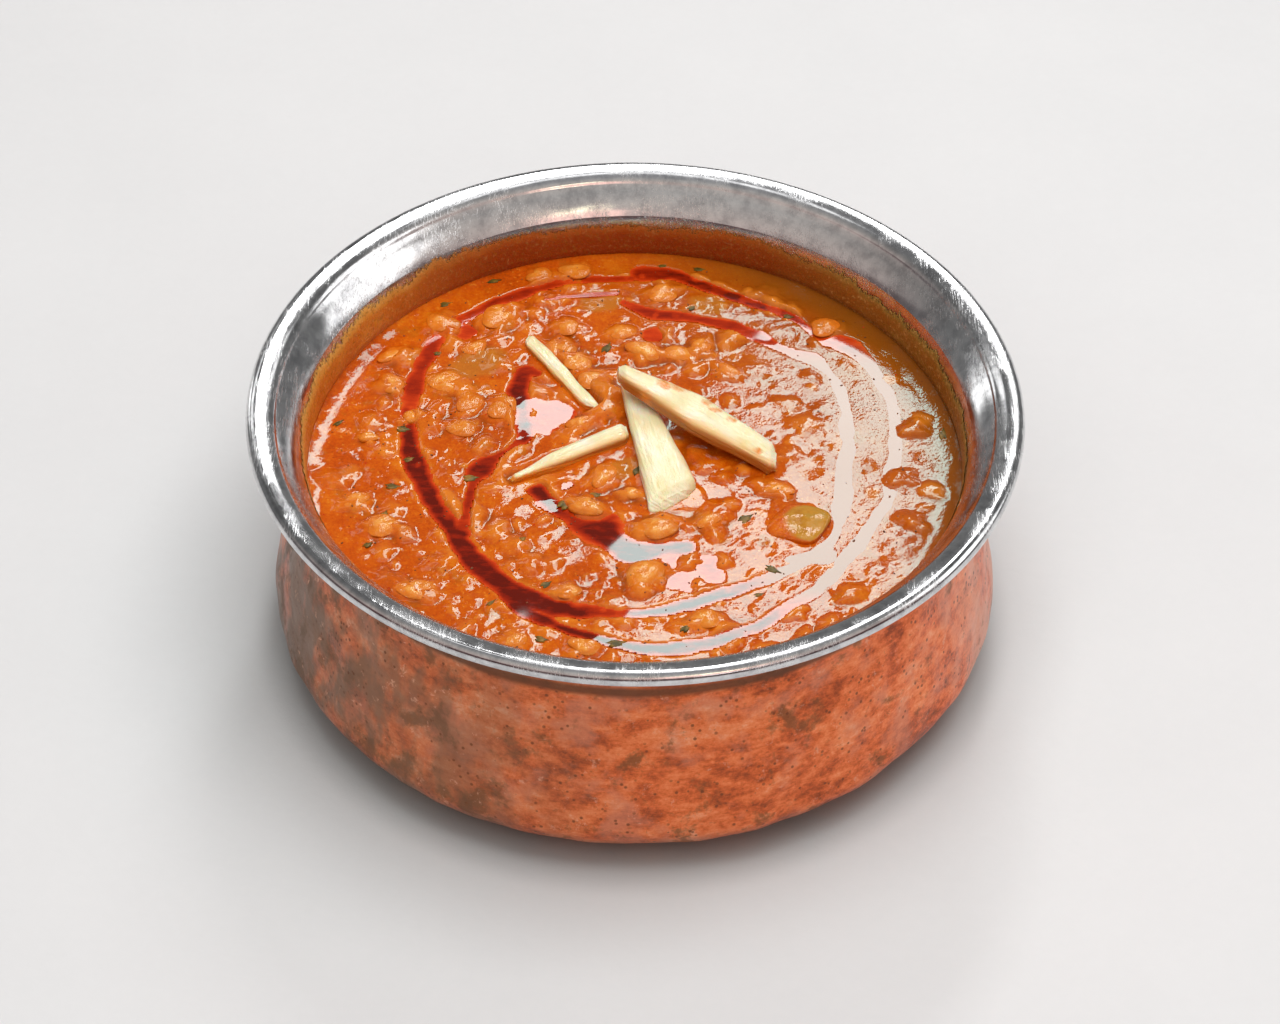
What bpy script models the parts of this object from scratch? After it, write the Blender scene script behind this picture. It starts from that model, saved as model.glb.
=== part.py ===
"""A copper-and-steel serving bowl filled with dal makhani, topped with ginger sticks.

The bowl is a hammered copper shell round a stainless steel liner whose lip flares out
and ends in a rolled bead. Units are metres. The origin is the middle of the flat base,
+Z is up, and the ginger's open side faces -Y.
"""

import math

import bmesh
import bpy
from mathutils import Vector
from mathutils.geometry import interpolate_bezier

MM = 0.001

# Bowl, as its outer outline: radii and heights above the base.
BASE_RADIUS = 42.5 * MM
BELLY_RADIUS = 67.4 * MM
BELLY_HEIGHT = 10.9 * MM
FOOT_ROUNDNESS = 2.12            # exponent of the curve from base to belly
NECK_RADIUS = 61.6 * MM
NECK_HEIGHT = 39.5 * MM
SHOULDER_SLOPE = 1.25            # exponent of the slope from belly to neck
FLARE_RADIUS = 66.0 * MM         # where the copper ends under the lip
FLARE_HEIGHT = 50.2 * MM
RIM_RADIUS = 70.0 * MM
BEAD_RADIUS = 1.5 * MM
BEAD_HEIGHT = 51.8 * MM          # of the bead's centre

SHEET = 0.8 * MM                 # thickness of the copper and of the steel
GAP = 0.3 * MM                   # clearance between neighbouring solids

# Gravy: its level, and how far its edge climbs the wall.
GRAVY_LEVEL = 37.3 * MM
MENISCUS_RISE = 0.7 * MM
MENISCUS_WIDTH = 2.5 * MM
SWELL = 0.35 * MM                # height of the low swells of its surface

STEPS = 56                       # facets round the bowl
FOOT_POINTS = 5
SHOULDER_POINTS = 4
FLARE_POINTS = 3
BEAD_POINTS = 8
STICK_SEGMENTS = 4
EDGE_SOFTNESS = 0.35 * MM

# Ginger sticks: top middle of each end as (x, y, height over the gravy), the widths at
# head, middle and tail, the thickness, how far each end is cut askew, and how far the
# tail is cut back at its top.
STICKS = {
    "ginger_stick_1": dict(head=(-20.6, 33.8, 1.5), tail=(-8.1, 15.2, 0.9),
                           widths=(2.6, 3.0, 2.6), thick=1.9, skews=(0.9, -1.6), cut_back=0.2),
    "ginger_stick_2": dict(head=(-2.6, 6.85, 2.4), tail=(-22.8, -4.7, 0.6),
                           widths=(4.3, 3.9, 1.4), thick=2.6, skews=(-0.6, 0.2), cut_back=0.4),
    "ginger_stick_3": dict(head=(-1.2, 19.6, 4.0), tail=(7.6, -12.2, 2.5),
                           widths=(3.4, 7.2, 10.2), thick=3.2, skews=(-0.6, 1.9), cut_back=2.8),
    "ginger_stick_4": dict(head=(-3.0, 16.6, 9.2), tail=(26.2, -1.0, 3.3),
                           widths=(3.4, 8.2, 5.4), thick=3.6, skews=(1.2, 1.3), cut_back=0.4),
}

# Pepper piece: sunk in the gravy, with its top just proud of it.
PEPPER_MIDDLE = (29.6, -15.6, 0.6)
PEPPER_SIZE = (9.0, 8.2, 2.6)
PEPPER_TURN = math.radians(-22)

COLOURS = {
    "copper": dict(color=(0.56, 0.24, 0.14), metallic=0.85, roughness=0.42),
    "steel": dict(color=(0.78, 0.78, 0.79), metallic=1.0, roughness=0.14),
    "gravy": dict(color=(0.64, 0.20, 0.025), metallic=0.0, roughness=0.18),
    "ginger": dict(color=(0.87, 0.75, 0.42), metallic=0.0, roughness=0.45),
    "pepper": dict(color=(0.52, 0.33, 0.05), metallic=0.0, roughness=0.30),
}


def clear_scene():
    """Start from nothing."""
    for obj in list(bpy.data.objects):
        bpy.data.objects.remove(obj, do_unlink=True)


def new_collection(name):
    collection = bpy.data.collections.new(name)
    bpy.context.scene.collection.children.link(collection)
    return collection


def make_material(name):
    """A plain Principled material for one kind of surface."""
    look = COLOURS[name]
    material = bpy.data.materials.new(name)
    material.use_nodes = True
    shader = material.node_tree.nodes["Principled BSDF"]
    shader.inputs["Base Color"].default_value = (*look["color"], 1.0)
    shader.inputs["Metallic"].default_value = look["metallic"]
    shader.inputs["Roughness"].default_value = look["roughness"]
    material.diffuse_color = (*look["color"], 1.0)
    return material


def lerp(start, end, amount):
    return start + (end - start) * amount


def bowl_outline():
    """The copper's outer outline, from the middle of the base up to the lip, as (radius, height)."""
    points = [(0.0, 0.0), (BASE_RADIUS, 0.0)]
    for i in range(1, FOOT_POINTS + 1):
        angle = math.radians(90) * i / FOOT_POINTS
        out = math.sin(angle) ** (2 / FOOT_ROUNDNESS)
        drop = math.cos(angle) ** (2 / FOOT_ROUNDNESS)
        points.append((lerp(BASE_RADIUS, BELLY_RADIUS, out), BELLY_HEIGHT * (1 - drop)))
    for i in range(1, SHOULDER_POINTS + 1):
        rise = i / SHOULDER_POINTS
        radius = BELLY_RADIUS - (BELLY_RADIUS - NECK_RADIUS) * rise ** SHOULDER_SLOPE
        points.append((radius, lerp(BELLY_HEIGHT, NECK_HEIGHT, rise)))
    neck = Vector((NECK_RADIUS, NECK_HEIGHT))
    edge = Vector((FLARE_RADIUS, FLARE_HEIGHT))
    up_from_neck = neck + Vector((-0.1 * MM, 5.8 * MM))
    down_from_edge = edge - Vector((2.6 * MM, 2.5 * MM))
    flare = interpolate_bezier(neck, up_from_neck, down_from_edge, edge, FLARE_POINTS + 1)
    return points + [tuple(point) for point in flare[1:]]


def inset(outline, distance):
    """The outline moved inwards by a distance, square to itself."""
    moved = []
    for i, (radius, height) in enumerate(outline):
        before = Vector(outline[max(i - 1, 0)])
        after = Vector(outline[min(i + 1, len(outline) - 1)])
        along_in = (Vector((radius, height)) - before).normalized()
        along_out = (after - Vector((radius, height))).normalized()
        if along_in.length == 0:
            along_in = along_out
        if along_out.length == 0:
            along_out = along_in
        along = (along_in + along_out).normalized()
        square = Vector((-along.y, along.x))
        reach = distance / max(square.dot(Vector((-along_out.y, along_out.x))), 0.5)
        moved.append((max(radius + square.x * reach, 0.0), height + square.y * reach))
    moved[0] = (0.0, distance)
    return moved


def lip_and_bead():
    """The steel lip's top, the rolled bead and the lip's underside, as (radius, height)."""
    centre = Vector((RIM_RADIUS - BEAD_RADIUS, BEAD_HEIGHT))
    top = [(64.9 * MM, 51.95 * MM), (66.3 * MM, 52.8 * MM)]
    bead = []
    for i in range(BEAD_POINTS + 1):
        angle = lerp(math.radians(105), math.radians(-170), i / BEAD_POINTS)
        bead.append(tuple(centre + BEAD_RADIUS * Vector((math.cos(angle), math.sin(angle)))))
    underside = [(65.8 * MM, 51.55 * MM)]
    return top + bead + underside


def turned(name, outline, material, collection):
    """A solid or a surface turned round Z. The outline ends by running down its outer side."""
    mesh = bpy.data.meshes.new(name)
    verts = [(radius, 0.0, height) for radius, height in outline]
    mesh.from_pydata(verts, [(i, i + 1) for i in range(len(verts) - 1)], [])
    obj = bpy.data.objects.new(name, mesh)
    collection.objects.link(obj)
    obj.data.materials.append(material)
    screw = obj.modifiers.new("turn", "SCREW")
    screw.axis = "Z"
    screw.angle = math.radians(360)
    screw.steps = STEPS
    screw.render_steps = STEPS
    screw.use_merge_vertices = True
    screw.merge_threshold = 0.00001
    screw.use_smooth_shade = True
    return obj


def make_copper_shell(material, collection):
    """The hammered outer shell: one sheet from its edge under the lip down to the base."""
    shell = turned("copper_shell", bowl_outline()[::-1], material, collection)
    wall = shell.modifiers.new("sheet", "SOLIDIFY")
    wall.thickness = SHEET
    wall.offset = -1.0
    wall.use_even_offset = True
    return shell


def make_steel_liner(material, collection):
    """The liner inside the copper, with its flared lip and rolled bead."""
    outline = bowl_outline()
    inner = inset(outline, 2 * SHEET + GAP)
    outer = inset(outline, SHEET + GAP)
    section = inner + lip_and_bead() + outer[::-1]
    return turned("steel_liner", section, material, collection)


def gravy_swell(x, y):
    """Low uneven swells on the gravy's surface, as a height."""
    return SWELL * (math.sin(x * 95 + 1.0) * math.cos(y * 120) + 0.5 * math.sin((x - y) * 210))


def gravy_section():
    """The gravy's half section, from the middle of its surface out and down to the floor."""
    outline = [p for p in bowl_outline() if p[1] <= NECK_HEIGHT]
    wall = inset(outline, 2 * SHEET + 2 * GAP)
    side = [p for p in wall if p[1] < GRAVY_LEVEL - MENISCUS_RISE]
    edge_radius = NECK_RADIUS - 2 * SHEET - 2 * GAP
    flat_radius = edge_radius - MENISCUS_WIDTH
    rings = (0.0, 0.3, 0.55, 0.8, 1.0)
    top = [(flat_radius * share, GRAVY_LEVEL) for share in rings]
    return top + [(edge_radius, GRAVY_LEVEL + MENISCUS_RISE)] + side[::-1]


def make_gravy(material, collection):
    """The gravy up to its level, with low swells and an edge that climbs the steel."""
    profile = turned("gravy_profile", gravy_section(), material, collection)
    evaluated = profile.evaluated_get(bpy.context.evaluated_depsgraph_get())
    mesh = bpy.data.meshes.new_from_object(evaluated)
    bpy.data.objects.remove(profile, do_unlink=True)
    gravy = bpy.data.objects.new("curry", mesh)
    collection.objects.link(gravy)
    edge_radius = NECK_RADIUS - 2 * SHEET - 2 * GAP
    for vert in mesh.vertices:
        radius = math.hypot(vert.co.x, vert.co.y)
        if vert.co.z > GRAVY_LEVEL - 0.1 * MM and radius < edge_radius - 0.1 * MM:
            fade = 1 - (radius / edge_radius) ** 6
            vert.co.z += fade * gravy_swell(vert.co.x, vert.co.y)
    return gravy


def shape_stick(mesh, length, widths, thick, skews, cut_back, grow):
    """Turn a cube into a stick whose top middle line runs along +X from the origin."""
    shape = bmesh.new()
    bmesh.ops.create_cube(shape, size=1.0)
    lengthwise = [e for e in shape.edges if abs(e.verts[0].co.x - e.verts[1].co.x) > 0.5]
    bmesh.ops.subdivide_edges(shape, edges=lengthwise, cuts=STICK_SEGMENTS - 1,
                              use_grid_fill=True)
    for vert in shape.verts:
        along = vert.co.x + 0.5
        side = 2 * vert.co.y
        height = 2 * vert.co.z
        if along < 0.5:
            width = lerp(widths[0], widths[1], 2 * along)
        else:
            width = lerp(widths[1], widths[2], 2 * along - 1)
        askew = side * lerp(skews[0], skews[1], along)
        cut = cut_back * max(0.0, 4 * along - 3) * (1 + height) / 2
        end = 1 if along > 0.999 else -1 if along < 0.001 else 0
        vert.co.x = along * length - askew - cut + end * grow
        vert.co.y = side * (width / 2 + grow)
        vert.co.z = (height - 1) * thick / 2 + height * grow
    shape.to_mesh(mesh)
    shape.free()


def place_stick(obj, head, tail):
    """Stand the stick's top middle line on the line from head to tail."""
    run = tail - head
    obj.location = head
    obj.rotation_euler = (0.0, -math.asin(run.z / run.length), math.atan2(run.y, run.x))


def soften(obj):
    """Take the sharpness off a piece's edges."""
    bevel = obj.modifiers.new("soft_edges", "BEVEL")
    bevel.width = EDGE_SOFTNESS
    bevel.segments = 1
    bevel.limit_method = "ANGLE"
    bevel.angle_limit = math.radians(40)


def make_stick(name, material, collection, grow=0.0):
    """A ginger stick, or with grow the room that the gravy leaves round it."""
    facts = STICKS[name]
    rise = Vector((0.0, 0.0, GRAVY_LEVEL))
    head = Vector(facts["head"]) * MM + rise
    tail = Vector(facts["tail"]) * MM + rise
    mesh = bpy.data.meshes.new(name)
    widths = [width * MM for width in facts["widths"]]
    skews = [skew * MM for skew in facts["skews"]]
    shape_stick(mesh, (tail - head).length, widths, facts["thick"] * MM, skews,
                facts["cut_back"] * MM, grow)
    stick = bpy.data.objects.new(name, mesh)
    collection.objects.link(stick)
    place_stick(stick, head, tail)
    if material:
        mesh.materials.append(material)
        soften(stick)
    return stick


def make_pepper(material, collection, grow=0.0):
    """The flat piece of pepper, or with grow the room that the gravy leaves round it."""
    shape = bmesh.new()
    bmesh.ops.create_cube(shape, size=1.0)
    for vert in shape.verts:
        taper = 0.78 if vert.co.x > 0 else 1.0
        vert.co.x *= PEPPER_SIZE[0] * MM + 2 * grow
        vert.co.y *= PEPPER_SIZE[1] * MM * taper + 2 * grow
        vert.co.z = vert.co.z * (PEPPER_SIZE[2] * MM + 2 * grow) - PEPPER_SIZE[2] * MM / 2
    mesh = bpy.data.meshes.new("pepper_piece")
    shape.to_mesh(mesh)
    shape.free()
    pepper = bpy.data.objects.new("pepper_piece", mesh)
    collection.objects.link(pepper)
    x, y, height = PEPPER_MIDDLE
    pepper.location = (x * MM, y * MM, GRAVY_LEVEL + height * MM)
    pepper.rotation_euler = (0.0, 0.0, PEPPER_TURN)
    if material:
        mesh.materials.append(material)
        soften(pepper)
    return pepper


def cut_from(target, cutter):
    """Take a cutter's shape out of a piece, and keep the cutter as a wire guide."""
    cutter.hide_render = True
    cutter.display_type = "WIRE"
    boolean = target.modifiers.new(cutter.name, "BOOLEAN")
    boolean.operation = "DIFFERENCE"
    boolean.solver = "EXACT"
    boolean.object = cutter


def main():
    clear_scene()
    parts = new_collection("dal_makhani")
    cutters = new_collection("cutters")
    materials = {name: make_material(name) for name in COLOURS}
    make_copper_shell(materials["copper"], parts)
    make_steel_liner(materials["steel"], parts)
    gravy = make_gravy(materials["gravy"], parts)
    for name in STICKS:
        make_stick(name, materials["ginger"], parts)
        room = make_stick(name, None, cutters, grow=GAP)
        room.name = "room_for_" + name
        cut_from(gravy, room)
    make_pepper(materials["pepper"], parts)
    room = make_pepper(None, cutters, grow=GAP)
    room.name = "room_for_pepper_piece"
    cut_from(gravy, room)


main()
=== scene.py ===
"""Dal curry in a hammered copper bowl with a steel liner, topped with ginger sticks.

Lengths are written in millimetres and turned into metres where a mesh is made. The
middle of the base is the origin, +Z is up, and the camera stands on the -Y side.
"""

import math

import bmesh
import bpy
import numpy as np
from mathutils import Matrix, Quaternion, Vector
from mathutils.geometry import interpolate_bezier


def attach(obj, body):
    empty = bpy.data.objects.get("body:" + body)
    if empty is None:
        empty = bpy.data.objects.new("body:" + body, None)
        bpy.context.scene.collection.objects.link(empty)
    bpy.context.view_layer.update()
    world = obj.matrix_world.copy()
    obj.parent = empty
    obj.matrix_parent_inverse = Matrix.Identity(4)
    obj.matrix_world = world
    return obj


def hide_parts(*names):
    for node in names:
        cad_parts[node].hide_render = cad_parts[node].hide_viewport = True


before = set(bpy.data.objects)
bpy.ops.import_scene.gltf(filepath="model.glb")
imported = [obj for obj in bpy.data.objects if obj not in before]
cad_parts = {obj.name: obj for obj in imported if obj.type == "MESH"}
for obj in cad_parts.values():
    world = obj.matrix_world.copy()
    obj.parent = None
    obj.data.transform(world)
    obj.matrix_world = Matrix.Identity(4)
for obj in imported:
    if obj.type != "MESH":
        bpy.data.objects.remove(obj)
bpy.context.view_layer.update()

MM = 0.001

# The bowl's outline, as in the frame.
BASE_RADIUS = 42.5
BELLY_RADIUS = 67.4
BELLY_HEIGHT = 10.9
FOOT_ROUNDNESS = 2.12
NECK_RADIUS = 61.6
NECK_HEIGHT = 39.5
SHOULDER_SLOPE = 1.25
FLARE_RADIUS = 66.0
FLARE_HEIGHT = 50.2
RIM_RADIUS = 70.0
BEAD_RADIUS = 1.5
BEAD_HEIGHT = 51.8
SHEET = 0.8
GAP = 0.3

# The studio's greys from the horizon (0) to straight up (1), behind the bowl and before it.
BACKDROP_GREYS = [(0.0, (0.30, 0.30, 0.305)), (0.10, (0.20, 0.20, 0.20)), (0.43, (0.17, 0.17, 0.17)),
                  (0.62, (0.12, 0.12, 0.12)), (0.80, (0.15, 0.15, 0.15)), (1.0, (0.34, 0.34, 0.35))]
FRONT_GREYS = [(0.0, (0.12, 0.07, 0.07)), (0.30, (0.14, 0.08, 0.08)), (0.40, (0.58, 0.48, 0.45)),
               (0.55, (0.61, 0.52, 0.48)), (0.88, (0.50, 0.48, 0.46)), (1.0, (0.34, 0.34, 0.35))]

GRAVY_LEVEL = 37.3
GRAVY_RADIUS = 60.1              # where the gravy meets the steel
GRAVY_GRID = 284
OIL_SINK = 0.01                  # how far the oil lies below the gravy round it

# Chilli oil, poured as rings: points (x, y, half width, depth) along each trail.
OIL_TRAILS = {
    "left_ring": [
        (-1, 53, 1.0, 0.5), (-12, 52.2, 1.0, 0.5), (-18, 50.2, 1.1, 0.6), (-23, 47.5, 1.4, 0.7),
        (-28, 44, 1.5, 0.8), (-33, 40.5, 1.2, 0.5), (-36.5, 36.5, 1.5, 0.4), (-38.8, 32, 1.5, 0.6),
        (-40.3, 26, 1.5, 0.6), (-41.6, 19, 1.7, 0.7), (-42, 11.5, 1.7, 0.9), (-41.4, 4.5, 1.8, 1.2),
        (-39.8, -2.5, 1.9, 1.3), (-37.1, -9.3, 1.8, 1.2), (-34.2, -15, 1.8, 1.1),
        (-31.2, -21, 1.9, 1.2), (-27.4, -27, 2.0, 1.3), (-22, -33, 2.1, 1.4), (-16, -36.6, 2.2, 1.4),
        (-10, -38.6, 2.0, 1.2), (-6, -38.8, 1.2, 0.5), (0, -39.2, 1.3, 0.9), (8, -37.3, 1.4, 1.0),
        (15, -34.2, 1.5, 1.0), (23, -30.2, 1.3, 0.7), (29.5, -26, 1.3, 0.6), (34, -21.2, 1.3, 0.5),
        (36.2, -16.5, 1.5, 0.5), (37.4, -11, 1.9, 0.6), (37.9, -5, 1.9, 0.6), (38.4, 0, 1.8, 0.5),
        (39, 8, 1.8, 0.5), (39.1, 15, 1.6, 0.5), (38, 22, 1.4, 0.5), (36, 26.3, 1.2, 0.5),
        (33.5, 29.5, 1.6, 1.2), (30, 31.2, 1.2, 0.8), (27, 33, 1.0, 0.7), (22, 36.8, 1.5, 0.5),
        (18, 39.3, 1.2, 0.6), (13, 40.6, 1.2, 0.7), (8, 42, 1.4, 0.8), (3, 42.4, 1.4, 0.7),
        (0, 44, 1.1, 0.5), (-3, 46, 0.8, 0.3),
    ],
    "right_ring": [
        (1, 54.2, 2.2, 0.8), (7, 54.2, 1.6, 0.9), (12, 51.6, 1.4, 1.1), (18, 48.2, 1.3, 1.1),
        (25, 44.6, 1.1, 1.0), (30, 41.8, 0.9, 0.8), (33.5, 37.6, 0.9, 0.5), (37.4, 34.2, 1.0, 0.5),
        (41.4, 31.8, 1.8, 1.2), (44.5, 27, 1.5, 0.5), (47, 21, 1.7, 0.5), (48, 14, 1.7, 0.5),
        (48, 6, 1.7, 0.5), (47.2, 0, 1.8, 0.5), (46, -8, 1.7, 0.5), (44, -13, 1.8, 0.5),
        (41, -19, 1.9, 0.5), (37, -26, 1.8, 0.5), (32, -32.6, 1.6, 0.5), (28, -36, 1.3, 0.7),
        (23, -40.8, 1.2, 0.9), (18, -43.8, 1.3, 0.9), (12, -46.4, 1.4, 1.0), (5, -47.8, 1.5, 1.1),
        (-1, -47.2, 1.2, 1.0), (-8, -44.8, 1.1, 1.0), (-14, -41.8, 1.2, 1.0), (-20, -37.8, 1.4, 1.0),
        (-25, -31.4, 1.2, 0.7), (-28.5, -26, 1.0, 0.6),
    ],
    "inner_left": [
        (-31.2, -19, 1.9, 1.2), (-30.5, -15, 0.8, 0.7), (-30, -11, 0.9, 0.7), (-29.4, -6, 0.8, 0.6),
        (-28.4, -2.2, 2.1, 0.9), (-25.2, 1.5, 0.8, 0.7), (-22.2, 4.6, 0.8, 0.7), (-20.4, 7, 1.4, 0.9),
        (-21, 12, 1.7, 1.1), (-22, 17.6, 2.0, 1.2), (-21.8, 22, 1.7, 0.9), (-20.6, 25.4, 1.4, 0.7),
        (-18, 24.4, 0.9, 0.5),
    ],
    "middle": [
        (-17.6, -7.6, 1.7, 1.0), (-14.6, -11.6, 1.6, 0.9), (-11.6, -14.2, 1.6, 0.7),
        (-7.4, -16.4, 3.6, 0.9), (-4, -20, 3.0, 1.3), (0.2, -23.4, 2.5, 1.6), (5, -22.4, 1.7, 1.0),
        (10, -22.2, 1.7, 1.2),
    ],
    "top_left_streak": [
        (-4, 48.6, 0.8, 0.4), (-12, 47.6, 0.6, 0.4), (-18, 46.4, 0.5, 0.3),
    ],
    "by_pepper": [
        (36.4, -13.4, 0.9, 0.6), (36.2, -18, 1.2, 0.7), (33.6, -22.4, 1.1, 0.7), (30, -24.4, 1.2, 0.9),
        (27, -25, 0.8, 0.5),
    ],
}

# Level pools of thin oil: (x, y, half length, half width, turn, tilt towards +X, towards +Y).
POOLS = [
    (-17.2, 13.6, 6.6, 5.0, 60, 4.6, 0.0), (9.4, -28.6, 6.6, 4.4, 10, 0.0, 0.0),
    (-33, 36.4, 2.8, 2.4, 20, 5.0, 0.6), (22.6, 36.8, 3.8, 1.5, -25, 0.4, 0.0),
    (38, 35.2, 4.2, 2.2, -18, 0.0, 0.0), (-15.6, -11.6, 2.6, 1.2, -30, 4.2, 0.0),
    (34, -24, 2.6, 2.0, 40, 0.0, 0.0), (3.2, 36, 2.0, 2.0, 20, 1.4, 0.0),
    (-13, -6.4, 2.2, 1.0, 25, 4.2, 0.0),
]

# Split lentils that show: (x, y, length, width, turn, how proud, how bare).
LENTILS = [
    (-35.5, 21.5, 7.2, 5.2, 8, 1.0, 0.9), (-26, 41, 8.0, 6.6, 25, 1.2, 0.8),
    (-37, 38.6, 6.4, 5.0, -30, 1.1, 0.7), (-12, 54.6, 6.0, 4.6, 0, 1.0, 0.7),
    (-41.3, 12.4, 4.2, 3.4, 70, 1.2, 1.0), (-24.6, 14.2, 7.0, 4.8, 75, 0.9, 0.6),
    (-13.5, 38, 5.6, 4.2, -10, 0.8, 0.6), (-11, 27.6, 6.0, 5.0, 60, 1.1, 0.9),
    (-7.8, 22.4, 6.4, 5.0, 30, 1.2, 0.8), (-5.4, 15.4, 8.6, 6.4, 75, 2.0, 0.2),
    (-2.6, 36.4, 5.6, 3.6, 5, 1.0, 0.8), (1.6, 31, 7.0, 4.8, -15, 1.4, 1.0),
    (8, 30.4, 7.0, 3.8, -5, 1.1, 0.8), (-14.4, 31.6, 5.8, 5.0, -40, 0.9, 0.7),
    (-10.4, 10.6, 4.6, 3.4, 20, 1.0, 0.8), (4.2, -17.9, 7.2, 5.4, 12, 1.6, 0.9),
    (-8.8, -12.3, 7.0, 4.4, -12, 1.5, 0.8), (-5.6, -3.6, 6.6, 4.6, 60, 1.1, 0.7),
    (-0.4, -8.6, 4.4, 2.6, -20, 1.2, 1.0), (1.8, -30, 7.6, 6.8, 70, 1.7, 0.9),
    (-38.2, -34, 7.2, 4.6, -15, 1.0, 0.8), (12.5, -40.6, 5.6, 4.2, 20, 1.0, 0.8),
    (-8.4, -47.6, 5.6, 3.8, -10, 1.0, 1.0), (25.6, -6.6, 7.0, 3.2, -20, 0.7, 0.8),
    (36, 38.6, 6.2, 4.8, 20, 0.9, 0.5), (25, 48.6, 6.0, 4.2, -20, 0.7, 0.3),
    (12.4, 32.8, 5.2, 3.6, 70, 1.0, 0.7), (5, 48, 6.2, 5.0, 40, 0.9, 0.8),
    (-46, 29, 6.0, 3.4, 30, 1.0, 0.8), (-45, -17.6, 6.6, 5.2, 10, 1.0, 0.9),
    (-49.2, 6, 3.6, 2.8, -20, 0.9, 1.0), (-32, 8.6, 6.0, 4.4, -30, 0.9, 0.6),
    (51.6, 10.4, 4.8, 4.0, 0, 0.9, 0.1), (48.6, -3.4, 4.6, 3.6, 20, 0.7, 0.1),
    (50, -15, 5.4, 3.6, -40, 0.8, 0.1), (-11.4, -34, 4.8, 3.4, 10, 0.8, 0.9),
    (-31, 15.4, 5.4, 4.0, 50, 0.8, 0.7), (17.6, 25.6, 5.8, 3.0, -35, 0.7, 0.6),
    (24.2, 1.6, 5.0, 2.6, -15, 0.8, 0.6), (-45.6, 21, 5.6, 4.2, -50, 1.0, 0.7),
    (-50.4, -11, 5.0, 3.6, 40, 0.9, 0.7), (38.6, -33.6, 5.4, 3.8, 30, 0.8, 0.2),
    (13.4, -15.6, 4.6, 3.2, 40, 0.8, 0.6), (-21, -46.4, 5.4, 4.0, 10, 0.9, 0.6),
    (-30.6, 31.6, 5.2, 4.0, 60, 0.8, 0.6), (-19, 53.4, 5.0, 3.8, 10, 0.8, 0.6),
]

# Pale soft pieces just under the gravy's skin: (x, y, length, width, turn).
ONION_FLATS = [
    (-7, 46, 8, 6.4, 20), (-29.5, 27.5, 11, 8, 30), (14, 45, 7, 5, -20), (-2, -1.4, 6, 5, 40),
]

# Bits of herb: (x, y, length, turn).
HERBS = [
    (-55, 10, 2.6, 40), (-37, 44.5, 2.4, 10), (-28, 51.5, 3.4, 5), (-44, -7, 3.0, -10),
    (-30, -4.5, 3.2, -5), (-41.5, 0.4, 2.4, 20), (-45, -15, 2.4, 60), (-15.5, -32, 2.4, 30),
    (-3, -46.6, 3.6, 5), (-16, -45.5, 2.6, -20), (-25, -37, 2.2, 40), (-5.6, 31.8, 3.4, 60),
    (10.5, 44, 2.0, 20), (29, 42, 2.4, -15), (5, 57, 2.4, 10), (12, 56, 2.6, -10),
    (20, -14.6, 3.2, 30), (24.5, -27.5, 3.4, -35), (22, -34, 2.0, 10), (9, -43, 2.4, 50),
    (-12.6, -11.4, 3.4, 35), (0.6, -2.4, 3.0, 70), (57, 8.6, 3.4, 80), (-37.6, 30, 1.8, 0),
    (-20, -21, 1.6, 30), (-7.2, -8.6, 3.0, 10), (-47.5, -22.5, 2.0, 30), (-43, 8.8, 2.8, -20),
]

# Ginger sticks: top middle of each end as (x, y, height over the gravy). They lie as in the
# frame, with the head of stick 2 a little longer, so that it touches stick 3.
STICKS = {
    "ginger_stick_1": dict(head=(-20.6, 33.8, 1.5), tail=(-8.1, 15.2, 0.9),
                           widths=(2.6, 3.0, 2.6), thick=1.9, skews=(0.9, -1.6), cut_back=0.2,
                           shade=-0.8),
    "ginger_stick_2": dict(head=(-1.5, 7.45, 2.4), tail=(-22.8, -4.7, 0.6),
                           widths=(4.3, 3.9, 1.4), thick=2.6, skews=(-0.6, 0.2), cut_back=0.4,
                           shade=1.0),
    "ginger_stick_3": dict(head=(-1.2, 19.6, 4.0), tail=(7.6, -12.2, 2.5),
                           widths=(3.4, 7.2, 10.2), thick=3.2, skews=(-0.6, 1.9), cut_back=2.8,
                           shade=0.35),
    "ginger_stick_4": dict(head=(-3.0, 16.6, 9.2), tail=(26.2, -1.0, 3.3),
                           widths=(3.4, 8.2, 5.4), thick=3.6, skews=(1.2, 1.3), cut_back=0.4,
                           shade=-1.0),
}

# Oil splashed on the raised stick: (x, y, size).
STAIN_SPOTS = [
    (5.2, 13.4, 2.8), (8.5, 13.0, 2.4), (1.4, 10.0, 2.8), (13.3, 10.4, 1.9), (14.8, 8.4, 1.7),
    (17.6, 6.6, 1.6), (22.6, -0.4, 1.2),
]

PEPPER_PLACE = (29.6, -15.8)
PEPPER_TURN = -22
PEPPER_MOUND = (29.6, -15.6, 13, 11.5)   # the gravy's swell under it: x, y, length, width

# Rows of hammer dents: (height, how many go round).
DENT_ROWS = [(4.0, 60), (8.0, 58), (13.5, 56), (19.5, 56), (25.5, 54), (31.5, 54), (37.0, 50)]

# The gravy's smear on the steel: where it begins and ends, and the height of its ragged edge.
SMEAR_LOW = GRAVY_LEVEL - 0.8
SMEAR_HIGH = 48.4
SMEAR_ROWS = 26
SMEAR_EDGE = 45.6
SMEAR_FRONT_DROP = 4.8

SPECK_COUNT = 330
COATED_COUNT = 300

WHITE = (1.0, 1.0, 1.0)
PINK = (1.0, 0.50, 0.42)
CREAM = (1.0, 0.92, 0.62)

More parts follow.
